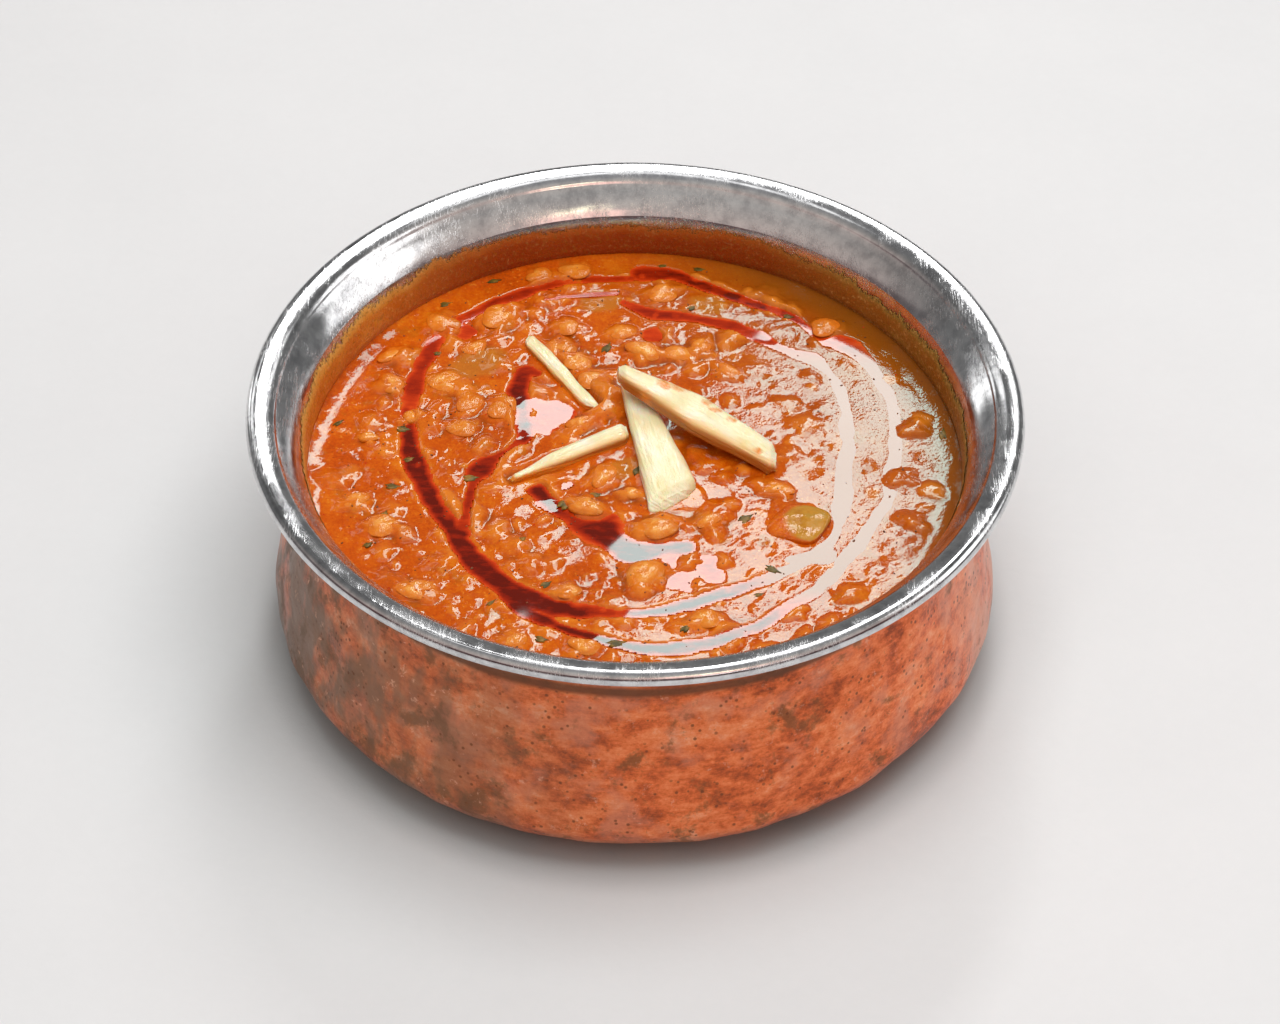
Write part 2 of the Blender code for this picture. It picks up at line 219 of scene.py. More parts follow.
# The camera: its place, its lens and the way its picture lies.
CAMERA_PLACE = (0.0, -472.22, 470.18)
CAMERA_LENS = 98.44
CAMERA_RIGHT = (0.99994167, 0.00616241, 0.00886977)
CAMERA_UP = (-0.0106812, 0.68590671, 0.72761109)

# Soft lights that face the bowl: (name, azimuth, elevation, distance, width, height, radiance,
# roll, colour, the surfaces they serve), in metres and degrees.
LIGHTS = [
    ("strip_softbox", 7.2, 43, 0.9, 0.115, 0.32, 9.8, -33, WHITE, "gloss"),
    ("strip_shadows", 7.2, 43, 0.9, 0.115, 0.32, 15.0, -33, WHITE, "matt"),
    ("high_strip", 11, 58, 0.9, 0.20, 0.20, 7.5, 0, WHITE, "gloss"),
    ("back_panel", 4, 74, 0.9, 0.60, 0.14, 1.2, 0, WHITE, "gloss"),
    ("right_window", 82, 31, 0.9, 0.50, 0.50, 1.7, 0, WHITE, "gloss"),
    ("right_panel", 27, 37, 0.9, 0.13, 0.20, 1.3, 0, WHITE, "gloss"),
    ("left_panel", -29, 36, 0.9, 0.34, 0.11, 1.5, -27, WHITE, "gloss"),
    ("low_left_panel", -45, 12, 0.9, 0.12, 0.28, 1.7, 0, WHITE, "gloss"),
    ("pink_card", 160, 32, 0.9, 0.40, 0.26, 0.95, 0, PINK, "gloss"),
    ("swoosh", 158, 42, 0.85, 0.07, 0.22, 2.2, 55, CREAM, "gloss"),
    ("front_glow", 150, 20, 0.85, 0.36, 0.05, 2.0, 0, WHITE, "gloss"),
    ("overhead", 100, 82, 1.0, 0.75, 0.75, 3.8, 0, WHITE, "matt"),
    ("front_fill", 185, 60, 1.0, 0.7, 0.5, 1.6, 0, WHITE, "matt"),
]


# ---------------------------------------------------------------- shading

class Number:
    """A value in a finish. Arithmetic with it adds Math nodes."""

    def __init__(self, finish, socket):
        self.finish = finish
        self.socket = socket

    def __add__(self, other):
        return self.finish.math("ADD", self, other)

    def __sub__(self, other):
        return self.finish.math("SUBTRACT", self, other)

    def __mul__(self, other):
        return self.finish.math("MULTIPLY", self, other)

    def __truediv__(self, other):
        return self.finish.math("DIVIDE", self, other)

    def __rsub__(self, other):
        return self.finish.math("SUBTRACT", other, self)

    def __rtruediv__(self, other):
        return self.finish.math("DIVIDE", other, self)

    __radd__ = __add__
    __rmul__ = __mul__


class Finish:
    """A material and its node tree."""

    def __init__(self, name, constants):
        self.material = bpy.data.materials.new(name)
        self.material.use_nodes = True
        self.tree = self.material.node_tree
        self.shader = self.tree.nodes["Principled BSDF"]
        for socket, value in constants.items():
            self.shader.inputs[socket].default_value = value

    def node(self, kind, settings, sockets, output=0):
        """Add a node: first its settings, then the values or links of its sockets."""
        node = self.tree.nodes.new(kind)
        for name, value in settings.items():
            if name == "stops":
                self.set_stops(node.color_ramp, value)
            else:
                setattr(node, name, value)
        for name, value in sockets.items():
            if isinstance(value, Number):
                self.tree.links.new(value.socket, node.inputs[name])
            else:
                node.inputs[name].default_value = value
        return Number(self, node.outputs[output])

    @staticmethod
    def set_stops(ramp, stops):
        while len(ramp.elements) < len(stops):
            ramp.elements.new(0.5)
        for element, (place, colour) in zip(ramp.elements, stops):
            element.position = place
            element.color = (*colour, 1.0)

    def math(self, operation, first, second=0.0):
        return self.node("ShaderNodeMath", {"operation": operation}, {0: first, 1: second})

    def mix(self, amount, first, second):
        """The first colour mixed towards the second."""
        first = first if isinstance(first, Number) else (*first, 1.0)
        second = second if isinstance(second, Number) else (*second, 1.0)
        settings = {"data_type": "RGBA", "clamp_factor": True}
        return self.node("ShaderNodeMix", settings, {0: amount, 6: first, 7: second}, output=2)

    def place(self):
        """The point on the piece, in the piece's own metres."""
        return self.node("ShaderNodeTexCoord", {}, {}, output=3)

    def stretched(self, place, scale, turn=(0.0, 0.0, 0.0)):
        return self.node("ShaderNodeMapping", {}, {"Vector": place, "Scale": scale, "Rotation": turn})

    def noise(self, place, size, detail=2.0, roughness=0.5, distortion=0.0):
        """Noise with patches about one size across, in millimetres."""
        sockets = {"Vector": place, "Scale": 1.0 / (size * MM), "Detail": detail,
                   "Roughness": roughness, "Distortion": distortion}
        return self.node("ShaderNodeTexNoise", {}, sockets)

    def cells(self, place, size):
        """The distance to scattered points about one size apart, in millimetres."""
        return self.node("ShaderNodeTexVoronoi", {}, {"Vector": place, "Scale": 1.0 / (size * MM)})

    def step(self, value, low, high):
        """0 up to low and 1 from high, with a soft ramp between them."""
        settings = {"interpolation_type": "SMOOTHSTEP"}
        return self.node("ShaderNodeMapRange", settings, {0: value, 1: low, 2: high})

    def ramp(self, value, stops):
        return self.node("ShaderNodeValToRGB", {"stops": stops}, {0: value})

    def attribute(self, name, output=2):
        return self.node("ShaderNodeAttribute", {"attribute_name": name}, {}, output=output)

    def part(self, vector, axis):
        """The x, y or z of a vector."""
        return self.node("ShaderNodeSeparateXYZ", {}, {0: vector}, output="xyz".index(axis))

    def vector(self, x, y, z):
        return self.node("ShaderNodeCombineXYZ", {}, {0: x, 1: y, 2: z})

    def bump(self, height, depth, under=None):
        """A bump of that depth in millimetres, over another one if given."""
        sockets = {"Strength": 1.0, "Distance": depth * MM, "Height": height}
        if under is not None:
            sockets["Normal"] = under
        return self.node("ShaderNodeBump", {}, sockets)

    def use(self, **values):
        """Link values to the shader's sockets."""
        for name, value in values.items():
            socket = self.shader.inputs[name.replace("_", " ")]
            self.tree.links.new(value.socket, socket)
        return self.material


def copper_finish():
    """Aged hammered copper: drifts of orange, salmon and pink, brown patina, specks and scuffs, with
    painted shade on the left and in the neck crease and painted light on the right and the front.
    """
    copper = Finish("hammered copper", {"Metallic": 0.75})
    place = copper.place()
    x = copper.part(place, "x")
    y = copper.part(place, "y")
    height = copper.part(place, "z")
    flat = copper.stretched(place, (1.0, 1.0, 1.7))
    clouds = copper.noise(flat, 17, detail=5, roughness=0.62, distortion=0.1)
    daubs = copper.noise(flat, 4.6, detail=6, roughness=0.70, distortion=0.1)
    streaks = copper.noise(copper.stretched(place, (0.5, 0.5, 2.2)), 1.3, detail=4, roughness=0.7)
    fine = copper.noise(place, 0.6, detail=3, roughness=0.75)
    tone = clouds * 0.34 + daubs * 0.45 + streaks * 0.09 + fine * 0.12
    metal = copper.ramp(tone, [(0.39, (0.20, 0.032, 0.009)), (0.45, (0.54, 0.086, 0.021)),
                               (0.50, (0.78, 0.160, 0.044)), (0.56, (0.90, 0.255, 0.094)),
                               (0.63, (0.97, 0.450, 0.260))])
    pinkness = copper.noise(place, 10, detail=4, roughness=0.6)
    pink = copper.mix(copper.step(pinkness, 0.48, 0.66) * 0.5, metal, (0.60, 0.24, 0.16))
    low = copper.step(height * -1.0, -16 * MM, -3 * MM)
    frontal = copper.step(y * -1.0, 0.0, 60 * MM)
    # Painted shade: the left side is darkened, greyed and given a little more patina, standing in for the
    # shadowed floor it mirrors.
    leftness = copper.step(x * -1.0 - y * 0.35, 20 * MM, 70 * MM)
    # Painted sheen: the right side is paled and given less patina, as if it mirrored a bright light.
    rightness = copper.step(x, 48 * MM, 68 * MM)
    brown = copper.noise(place, 8.5, detail=6, roughness=0.68, distortion=0.15)
    patina = copper.step(brown + low * 0.07 + leftness * 0.05 - rightness * 0.06, 0.55, 0.67)
    aged = copper.mix(patina * 0.75, pink, (0.15, 0.070, 0.028))
    # Painted shade: dark grey laid over the left side.
    grey = copper.noise(copper.stretched(place, (1.0, 1.0, 0.5)), 8, detail=4, roughness=0.6)
    left_shade_amount = (copper.step(grey, 0.38, 0.58) * 0.6 + 0.35) * leftness
    left_shaded = copper.mix(left_shade_amount, aged, (0.16, 0.105, 0.068))
    # Painted sheen: pale colour laid over the right side.
    right_sheen = copper.mix(rightness * copper.step(grey, 0.35, 0.6) * 0.6, left_shaded, (0.78, 0.46, 0.34))
    scuffs = copper.noise(place, 2.6, detail=5, roughness=0.75, distortion=0.2)
    scuffed = copper.mix(copper.step(scuffs, 0.60, 0.70) * 0.55, right_sheen, (0.86, 0.46, 0.30))
    pits = copper.noise(place, 6, detail=2)
    dots = copper.cells(place, 1.5)
    dotted = copper.mix((1.0 - copper.step(dots, 0.14, 0.26)) * copper.step(pits, 0.42, 0.58) * 0.8,
                        scuffed, (0.10, 0.028, 0.012))
    seams = copper.noise(place, 5.0, detail=7, roughness=0.8, distortion=0.3)
    stained = copper.mix((1.0 - copper.step(seams, 0.30, 0.42)) * 0.7, dotted, (0.16, 0.05, 0.02))
    # Painted shade with some tarnish in the crease under the neck, stronger on the front.
    crease = copper.step(height, 39.2 * MM, 40.6 * MM)
    crease = crease * (1.0 - copper.step(height, 41.5 * MM, 43.0 * MM))
    shaded = copper.mix(crease * (frontal * 0.38 + 0.50), stained, (0.05, 0.018, 0.008))
    roughness = (1.0 - tone) * 0.36 + 0.18 + patina * 0.16
    hammered = copper.bump(copper.noise(place, 5.5, detail=2, roughness=0.4), 0.35)
    pitted = copper.bump(daubs, 0.08, hammered)
    tiny = copper.bump(streaks, 0.015, pitted)
    # Painted light: the front is brightened towards orange.
    front_lit = copper.mix(frontal * 0.12, shaded, (0.80, 0.30, 0.12))
    return copper.use(Base_Color=front_lit, Roughness=roughness, Normal=tiny)


def steel_finish():
    """Polished steel that has been scoured: hooped, scratched in many directions and smudged, with a
    painted dark reflection up to just above the neck.
    """
    steel = Finish("polished steel", {"Metallic": 1.0})
    place = steel.place()
    height = steel.part(place, "z")
    round_x = steel.part(place, "x")
    round_y = steel.part(place, "y")
    radius = steel.math("SQRT", round_x * round_x + round_y * round_y)
    hoops = steel.vector(round_x / radius * 0.004, round_y / radius * 0.004, radius + height)
    brushed = steel.noise(hoops, 0.22, detail=4, roughness=0.7)
    scratches = None
    for turn in (0.4, 1.3, 2.2, 2.9):
        strokes = steel.noise(steel.stretched(place, (1.0, 0.05, 0.5), (0.0, 0.3, turn)), 0.30, detail=2)
        lines = steel.step(strokes, 0.60, 0.70)
        scratches = lines if scratches is None else scratches + lines
    worn = steel.noise(place, 8, detail=3, roughness=0.6)
    wear = steel.step(worn, 0.38, 0.62)
    grains = steel.noise(place, 0.7, detail=3, roughness=0.8)
    smudge = steel.noise(place, 3.2, detail=4, roughness=0.65)
    marks = steel.math("MINIMUM", scratches * wear, 1.0)
    clean = steel.ramp(smudge, [(0.35, (0.50, 0.50, 0.51)), (0.55, (0.70, 0.70, 0.705)),
                                (0.7, (0.78, 0.78, 0.78))])
    # Painted reflection: the steel up to just above the neck is darkened, as if it mirrored the shaded
    # inside wall.
    neck = 1.0 - steel.step(height, 43.0 * MM, 46.0 * MM)
    neck_dark_reflection = steel.mix(neck * 0.65, clean, (0.16, 0.13, 0.13))
    scored = steel.mix(marks * 0.35, neck_dark_reflection, (0.92, 0.92, 0.92))
    speckled = steel.mix(steel.step(grains, 0.58, 0.70) * wear * 0.5, scored, (0.30, 0.30, 0.31))
    roughness = wear * 0.10 + 0.09 + brushed * 0.06 + marks * 0.12
    slope = steel.math("MAXIMUM", steel.math("MINIMUM", height, 51.5 * MM), 46.5 * MM) * (-0.17 / MM)
    leaning = steel.bump(slope, 1.0)
    hoop_bump = steel.bump(brushed, 0.005, leaning)
    scratch_bump = steel.bump(marks, 0.012, hoop_bump)
    grain_bump = steel.bump(grains * wear, 0.008, scratch_bump)
    wavy = steel.bump(steel.noise(place, 9, detail=1), 0.03, grain_bump)
    return steel.use(Base_Color=speckled, Roughness=roughness, Normal=wavy)


PALE_LENTIL = (0.78, 0.245, 0.020)
WET_TINT = (0.42, 1.0, 0.92, 1.0)        # keeps the gloss on orange food from turning pink


def gravy_colour(gravy, place):
    """The gravy's orange, with redder, yellower and olive drifts and fine grains of spice."""
    drift = gravy.noise(place, 12, detail=3, roughness=0.6)
    mush = gravy.noise(place, 2.4, detail=4, roughness=0.7)
    grain = gravy.noise(place, 0.6, detail=3, roughness=0.75)
    base = gravy.ramp(drift * 0.4 + mush * 0.36 + grain * 0.24,
                      [(0.36, (0.38, 0.053, 0.001)), (0.45, (0.52, 0.071, 0.001)),
                       (0.53, (0.59, 0.100, 0.002)), (0.61, (0.66, 0.147, 0.004)),
                       (0.72, (0.72, 0.235, 0.012))])
    olive = gravy.noise(place, 5.5, detail=4, roughness=0.65)
    dulled = gravy.mix(gravy.step(olive, 0.56, 0.70) * 0.55, base, (0.42, 0.115, 0.005))
    flecks = gravy.noise(place, 0.8, detail=2, roughness=0.6)
    return gravy.mix(gravy.step(flecks, 0.62, 0.72) * 0.5, dulled, (0.78, 0.29, 0.03))


def gravy_finish():
    """Glossy gravy: paler where lentils show, with painted shade in its hollows, towards the back right and
    along the back-right shore.
    """
    gravy = Finish("lentil gravy", {"Specular IOR Level": 0.5, "Specular Tint": WET_TINT})
    place = gravy.place()
    base = gravy_colour(gravy, place)
    lentil = gravy.attribute("lentil")
    # Painted shade: darker towards the back right, where the wall's shadow falls.
    deep = gravy.step(gravy.part(place, "x") + gravy.part(place, "y") * 0.6, 8 * MM, 60 * MM)
    shaded = gravy.mix(deep * 0.7, base, (0.33, 0.068, 0.002))
    # Painted shade along the back-right shore, in the steel wall's shadow.
    shady = gravy.mix(gravy.attribute("shore") * 0.75, shaded, (0.19, 0.062, 0.004))
    pale = gravy.mix(lentil * 0.5, shady, PALE_LENTIL)
    crested = gravy.mix(gravy.attribute("crest") * 0.4, pale, (0.78, 0.24, 0.018))
    # Painted shade in the hollows between lumps.
    hollowed = gravy.mix(gravy.attribute("hollow") * 0.75, crested, (0.27, 0.048, 0.001))
    onion = gravy.attribute("onion")
    muted = gravy.mix(onion * 0.6, hollowed, (0.48, 0.18, 0.02))
    edge = gravy.attribute("oily")
    oily = gravy.mix(edge * 0.35, muted, (0.55, 0.060, 0.002))
    specks = gravy.cells(place, 2.3)
    spotted = gravy.mix((1.0 - gravy.step(specks, 0.035, 0.085)) * 0.8, oily, (0.12, 0.02, 0.003))
    reds = gravy.cells(gravy.stretched(place, (1.0, 1.0, 1.0), (0.0, 0.0, 1.0)), 3.7)
    flecked = gravy.mix((1.0 - gravy.step(reds, 0.03, 0.07)) * 0.85, spotted, (0.48, 0.015, 0.003))
    mush = gravy.noise(place, 1.7, detail=2, roughness=0.5)
    grain = gravy.noise(place, 0.5, detail=1, roughness=0.5)
    pulp = gravy.noise(place, 0.9, detail=2, roughness=0.5)
    rugged = gravy.attribute("rugged")
    droplets = gravy.cells(gravy.stretched(place, (1.0, 1.0, 1.0), (0.0, 0.0, 2.0)), 1.5)
    clusters = gravy.step(gravy.noise(place, 6, detail=2), 0.46, 0.58) * (rugged * 0.7 + 0.3)
    roughness = mush * 0.07 + 0.02
    soft = gravy.bump(mush, 0.022)
    pulpy = gravy.bump(pulp * (rugged * 0.6 + 0.4), 0.040, soft)
    beaded = gravy.bump((1.0 - gravy.step(droplets, 0.0, 0.22)) * clusters, 0.06, pulpy)
    grainy = gravy.bump(grain * (deep * 2.5 + 1.0), 0.009, beaded)
    return gravy.use(Base_Color=flecked, Roughness=roughness, Normal=grainy)


def lentil_finish():
    """Cooked lentils, bare and pale on top and coated with gravy lower down."""
    lentil = Finish("split lentils", {"Specular IOR Level": 0.5, "Specular Tint": WET_TINT})
    place = lentil.place()
    bare = lentil.attribute("bare")
    skin = lentil.noise(place, 1.4, detail=3, roughness=0.6)
    pulp = lentil.ramp(skin, [(0.3, (0.68, 0.17, 0.010)), (0.5, (0.78, 0.26, 0.026)),
                              (0.7, (0.84, 0.38, 0.075))])
    coat = lentil.mix(0.45, gravy_colour(lentil, place), PALE_LENTIL)
    patchy = lentil.step(bare + (lentil.noise(place, 2.2, detail=3) - 0.5) * 0.9, 0.2, 1.0)
    colour = lentil.mix(patchy, coat, pulp)
    rough = lentil.noise(place, 0.5, detail=2) * 0.12 + 0.05
    crinkle = lentil.bump(skin, 0.22)
    fine = lentil.bump(lentil.noise(place, 0.6, detail=2), 0.04, crinkle)
    return lentil.use(Base_Color=colour, Roughness=rough, Normal=fine)


def oil_finish():
    """Clear chilli oil: orange where it is thin, nearly black red where it is deep."""
    oil = Finish("chilli oil", {"Specular IOR Level": 0.58, "Specular Tint": (0.62, 1.0, 0.97, 1.0),
                                "Roughness": 0.03})
    place = oil.place()
    depth = oil.attribute("depth")
    murk = oil.noise(oil.stretched(place, (0.6, 1.6, 1.0), (0.0, 0.0, 0.5)), 2.6, detail=3, roughness=0.65)
    seen = depth + (murk - 0.5) * 1.0
    colour = oil.ramp(seen, [(0.0, (0.66, 0.085, 0.008)), (0.22, (0.58, 0.045, 0.004)),
                             (0.5, (0.42, 0.025, 0.0012)), (0.85, (0.25, 0.011, 0.0008)),
                             (1.0, (0.13, 0.006, 0.0006))])
    thinned = oil.mix(oil.attribute("thin"), colour, (0.36, 0.085, 0.020))
    return oil.use(Base_Color=thinned)


def smear_finish():
    """The dried film of gravy above the level, thin and grainy at its upper edge, with painted shade at the
    back.
    """
    smear = Finish("gravy smear", {"Specular IOR Level": 0.45})
    place = smear.place()
    x = smear.part(place, "x")
    film = smear.attribute("film")
    grain = smear.noise(place, 0.7, detail=4, roughness=0.75)
    patch = smear.noise(place, 6, detail=4, roughness=0.6)
    thick = film + (patch - 0.5) * 0.9 + (grain - 0.5) * 1.5
    rightness = smear.step(x, 15 * MM, 52 * MM)
    warm = smear.ramp(thick, [(0.1, (0.82, 0.56, 0.18)), (0.45, (0.78, 0.42, 0.085)),
                              (0.8, (0.74, 0.30, 0.035)), (1.0, (0.66, 0.19, 0.015))])
    olive = smear.ramp(thick, [(0.1, (0.32, 0.30, 0.10)), (0.5, (0.22, 0.17, 0.035)),
                               (1.0, (0.26, 0.10, 0.010))])
    # Painted shade: the film at the back is darker and has fewer pale crumbs, as it lies in the wall's
    # shadow.
    backness = smear.step(smear.part(place, "y"), 30 * MM, 56 * MM)
    dark = smear.ramp(thick, [(0.1, (0.46, 0.17, 0.03)), (0.5, (0.40, 0.085, 0.008)),
                              (1.0, (0.30, 0.042, 0.003))])
    colour = smear.mix(rightness * 0.8, smear.mix(backness, warm, dark), olive)
    flakes = smear.noise(place, 0.9, detail=4, roughness=0.8)
    dusky = smear.mix((1.0 - smear.step(flakes, 0.36, 0.48)) * 0.6, colour, (0.30, 0.11, 0.012))
    crumbs = smear.mix(smear.step(grain, 0.54, 0.66) * (0.6 - backness * 0.45), dusky, (0.92, 0.62, 0.22))
    alpha = smear.step(thick - rightness * 0.12, 0.12, 0.42)
    bumps = smear.bump(grain, 0.16)
    return smear.use(Base_Color=crumbs, Alpha=alpha, Roughness=grain * 0.3 + 0.15, Normal=bumps)


def ginger_finish():
    """Moist raw ginger: pale yellow, fibrous along its length, stained where it is wet, with painted shade
    and orange bounce light on one side.
    """
    ginger = Finish("fresh ginger", {"Specular IOR Level": 0.8, "Subsurface Weight": 0.5,
                                     "Subsurface Scale": 1.5 * MM})
    run = ginger.attribute("run", output=1)
    stain = ginger.attribute("stain")
    side = ginger.attribute("side")
    place = ginger.place()
    fibres = ginger.noise(ginger.stretched(run, (0.25, 1.0, 1.0)), 0.38, detail=3, roughness=0.6)
    tone = ginger.noise(ginger.stretched(run, (0.6, 1.0, 1.0)), 3.6, detail=3)
    flesh = ginger.ramp(tone * 0.85 + fibres * 0.15,
                        [(0.30, (0.80, 0.68, 0.33)), (0.5, (0.86, 0.78, 0.48)), (0.70, (0.90, 0.86, 0.66))])
    # Painted light and shade: the side marked by the stick's shade turns orange as if lit by the gravy's
    # bounce, and darkest at its lower edge as painted shade.
    side_shade_and_bounce = ginger.mix(side, flesh, (0.78, 0.40, 0.085))
    sides = ginger.mix(ginger.step(side, 0.55, 1.0) * 0.9, side_shade_and_bounce, (0.44, 0.14, 0.016))
    wet = ginger.noise(place, 2.0, detail=3, roughness=0.6)
    stained = ginger.mix(ginger.step(stain + (wet - 0.5) * 0.9, 0.22, 0.66), sides, (0.76, 0.26, 0.025))
    bumps = ginger.bump(fibres, 0.14)
    fine = ginger.bump(ginger.noise(place, 0.45, detail=2), 0.06, bumps)
    rough = fibres * 0.15 + 0.08
    return ginger.use(Base_Color=stained, Roughness=rough, Normal=fine)


def pepper_finish():
    """Green-yellow pepper that the gravy covers in part."""
    pepper = Finish("cooked green pepper", {"Specular IOR Level": 0.5})
    place = pepper.place()
    skin = pepper.noise(place, 2.8, detail=3, roughness=0.6)
    green = pepper.ramp(skin, [(0.3, (0.42, 0.16, 0.012)), (0.5, (0.52, 0.235, 0.022)),
                               (0.7, (0.42, 0.235, 0.036))])
    bare = pepper.attribute("bare")
    coat = gravy_colour(pepper, place)
    cover = pepper.step(bare + pepper.noise(place, 1.8, detail=3) * 0.6, 0.45, 0.95)
    colour = pepper.mix(cover, coat, green)
    wrinkles = pepper.bump(skin, 0.2)
    fine = pepper.bump(pepper.noise(place, 0.7, detail=2), 0.03, wrinkles)
    return pepper.use(Base_Color=colour, Roughness=skin * 0.2 + 0.04, Normal=fine)


def herb_finish():
    herb = Finish("chopped herb", {"Specular IOR Level": 0.3, "Roughness": 0.4})
    place = herb.place()
    tone = herb.noise(place, 1.6, detail=2)
    colour = herb.ramp(tone, [(0.35, (0.060, 0.048, 0.008)), (0.50, (0.13, 0.085, 0.012)),
                              (0.70, (0.30, 0.15, 0.020))])
    return herb.use(Base_Color=colour, Normal=herb.bump(tone, 0.15))


def spice_finish():
    spice = Finish("ground spice", {"Roughness": 0.4})
    place = spice.place()
    tone = spice.cells(place, 3.0)
    colour = spice.ramp(tone, [(0.1, (0.04, 0.012, 0.004)), (0.5, (0.16, 0.05, 0.012)),
                               (0.9, (0.36, 0.06, 0.01))])
    return spice.use(Base_Color=colour)


def floor_finish():
    floor = Finish("pale floor", {"Roughness": 0.75, "Specular IOR Level": 0.25})
    place = floor.place()
    cloud = floor.noise(place, 60, detail=5, roughness=0.65)
    grain = floor.noise(place, 2.5, detail=4, roughness=0.6)
    colour = floor.ramp(cloud * 0.75 + grain * 0.25,
                        [(0.35, (0.71, 0.715, 0.717)), (0.65, (0.76, 0.765, 0.766))])
    x, y = floor.part(place, "x"), floor.part(place, "y")
    # A cool tint painted near the bowl cancels the copper's warm bounce light on the floor.
    away = floor.step(floor.math("SQRT", x * x + y * y), 62 * MM, 125 * MM)
    near_bowl = floor.mix(away, (0.68, 0.74, 0.745), (0.76, 0.765, 0.766))
    shade = floor.mix(0.5, colour, near_bowl)
    # Painted shadow: a dark ring round the foot stands in for the bowl's contact shadow.
    touch = 1.0 - floor.step(floor.math("SQRT", x * x + y * y), 64 * MM, 73 * MM)
    contact_shadowed = floor.mix(touch * 0.7, shade, (0.34, 0.36, 0.36))
    return floor.use(Base_Color=contact_shadowed, Normal=floor.bump(grain, 0.08))


# ---------------------------------------------------------------- modelling

def lerp(start, end, amount):
    return start + (end - start) * amount


def start_clean():
    """Leave edit mode and deselect everything."""
    if bpy.context.object is not None and bpy.context.object.mode != "OBJECT":
        bpy.ops.object.mode_set(mode="OBJECT")
    bpy.ops.object.select_all(action="DESELECT")


def take_new(name):
    """The primitive just added, with its place in its mesh."""
    piece = bpy.context.object
    piece.name = name
    piece.data.name = name
    bpy.ops.object.transform_apply(location=True, rotation=True, scale=True)
    return piece


def select_only(pieces):
    """Select these pieces and make the first one active."""
    start_clean()
    for piece in pieces:
        piece.select_set(True)
    bpy.context.view_layer.objects.active = pieces[0]


def edit_all(piece):
    """Enter edit mode with every vertex of the piece selected."""
    select_only([piece])
    bpy.ops.object.mode_set(mode="EDIT")
    bpy.ops.mesh.select_mode(type="VERT")
    bpy.ops.mesh.select_all(action="SELECT")


def clean_up(piece):
    """Merge doubles, face outwards and shade smooth."""
    edit_all(piece)
    bpy.ops.mesh.remove_doubles(threshold=0.000002)
    bpy.ops.mesh.normals_make_consistent(inside=False)
    bpy.ops.object.mode_set(mode="OBJECT")
    bpy.ops.object.shade_smooth()


def apply_modifier(piece, kind, **settings):
    select_only([piece])
    modifier = piece.modifiers.new(kind.lower(), kind)
    for name, value in settings.items():
        setattr(modifier, name, value)
    bpy.ops.object.modifier_apply(modifier=modifier.name)


def copy_of(model, name):
    """A copy of a model with its own mesh."""
    copy = bpy.data.objects.new(name, model.data.copy())
    bpy.context.scene.collection.objects.link(copy)
    return copy


def join_copies(copies, model, name):
    """The copies joined into one smooth piece, with the model taken away."""
    select_only(copies)
    bpy.ops.object.join()
    piece = bpy.context.object
    piece.name = name
    bpy.ops.object.shade_smooth()
    bpy.data.objects.remove(model)
    return piece


def get_points(piece):
    """The piece's vertices in millimetres, one row each."""
    points = np.empty(len(piece.data.vertices) * 3)
    piece.data.vertices.foreach_get("co", points)
    return points.reshape(-1, 3) / MM


def set_points(piece, points):
    piece.data.vertices.foreach_set("co", (points * MM).ravel())
    piece.data.update()


def get_normals(piece):
    normals = np.empty(len(piece.data.vertices) * 3)
    piece.data.vertex_normals.foreach_get("vector", normals)
    return normals.reshape(-1, 3)


def set_attribute(piece, name, values):
    layer = piece.data.attributes.new(name, "FLOAT", "POINT")
    layer.data.foreach_set("value", values.astype(np.float32))


def finish_piece(piece, finish, replaced=()):
    piece.data.materials.clear()
    piece.data.materials.append(finish)
    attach(piece, "root")
    if replaced:
        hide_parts(*replaced)
    return piece


def smooth_step(value, low, high):
    share = np.clip((value - low) / (high - low), 0.0, 1.0)
    return share * share * (3.0 - 2.0 * share)


def mottle(x, y, size, seed):
    """Smooth random values from about -1 to 1, with patches about one size across."""
    rng = np.random.default_rng(seed)
    total = np.zeros_like(x)
    for layer in range(2):
        lattice = rng.uniform(-1.0, 1.0, (257, 257))
        turn = rng.uniform(0.3, 1.2) + layer * 0.8
        u = (x * math.cos(turn) + y * math.sin(turn)) / size + 500.3
        v = (y * math.cos(turn) - x * math.sin(turn)) / size + 500.7
        column = np.floor(u).astype(int)
        row = np.floor(v).astype(int)
        across = smooth_step(u - column, 0.0, 1.0)
        up = smooth_step(v - row, 0.0, 1.0)
        column %= 256
        row %= 256
        low = lattice[row, column] * (1 - across) + lattice[row, column + 1] * across
        high = lattice[row + 1, column] * (1 - across) + lattice[row + 1, column + 1] * across
        total += low * (1 - up) + high * up
    return total * 0.7


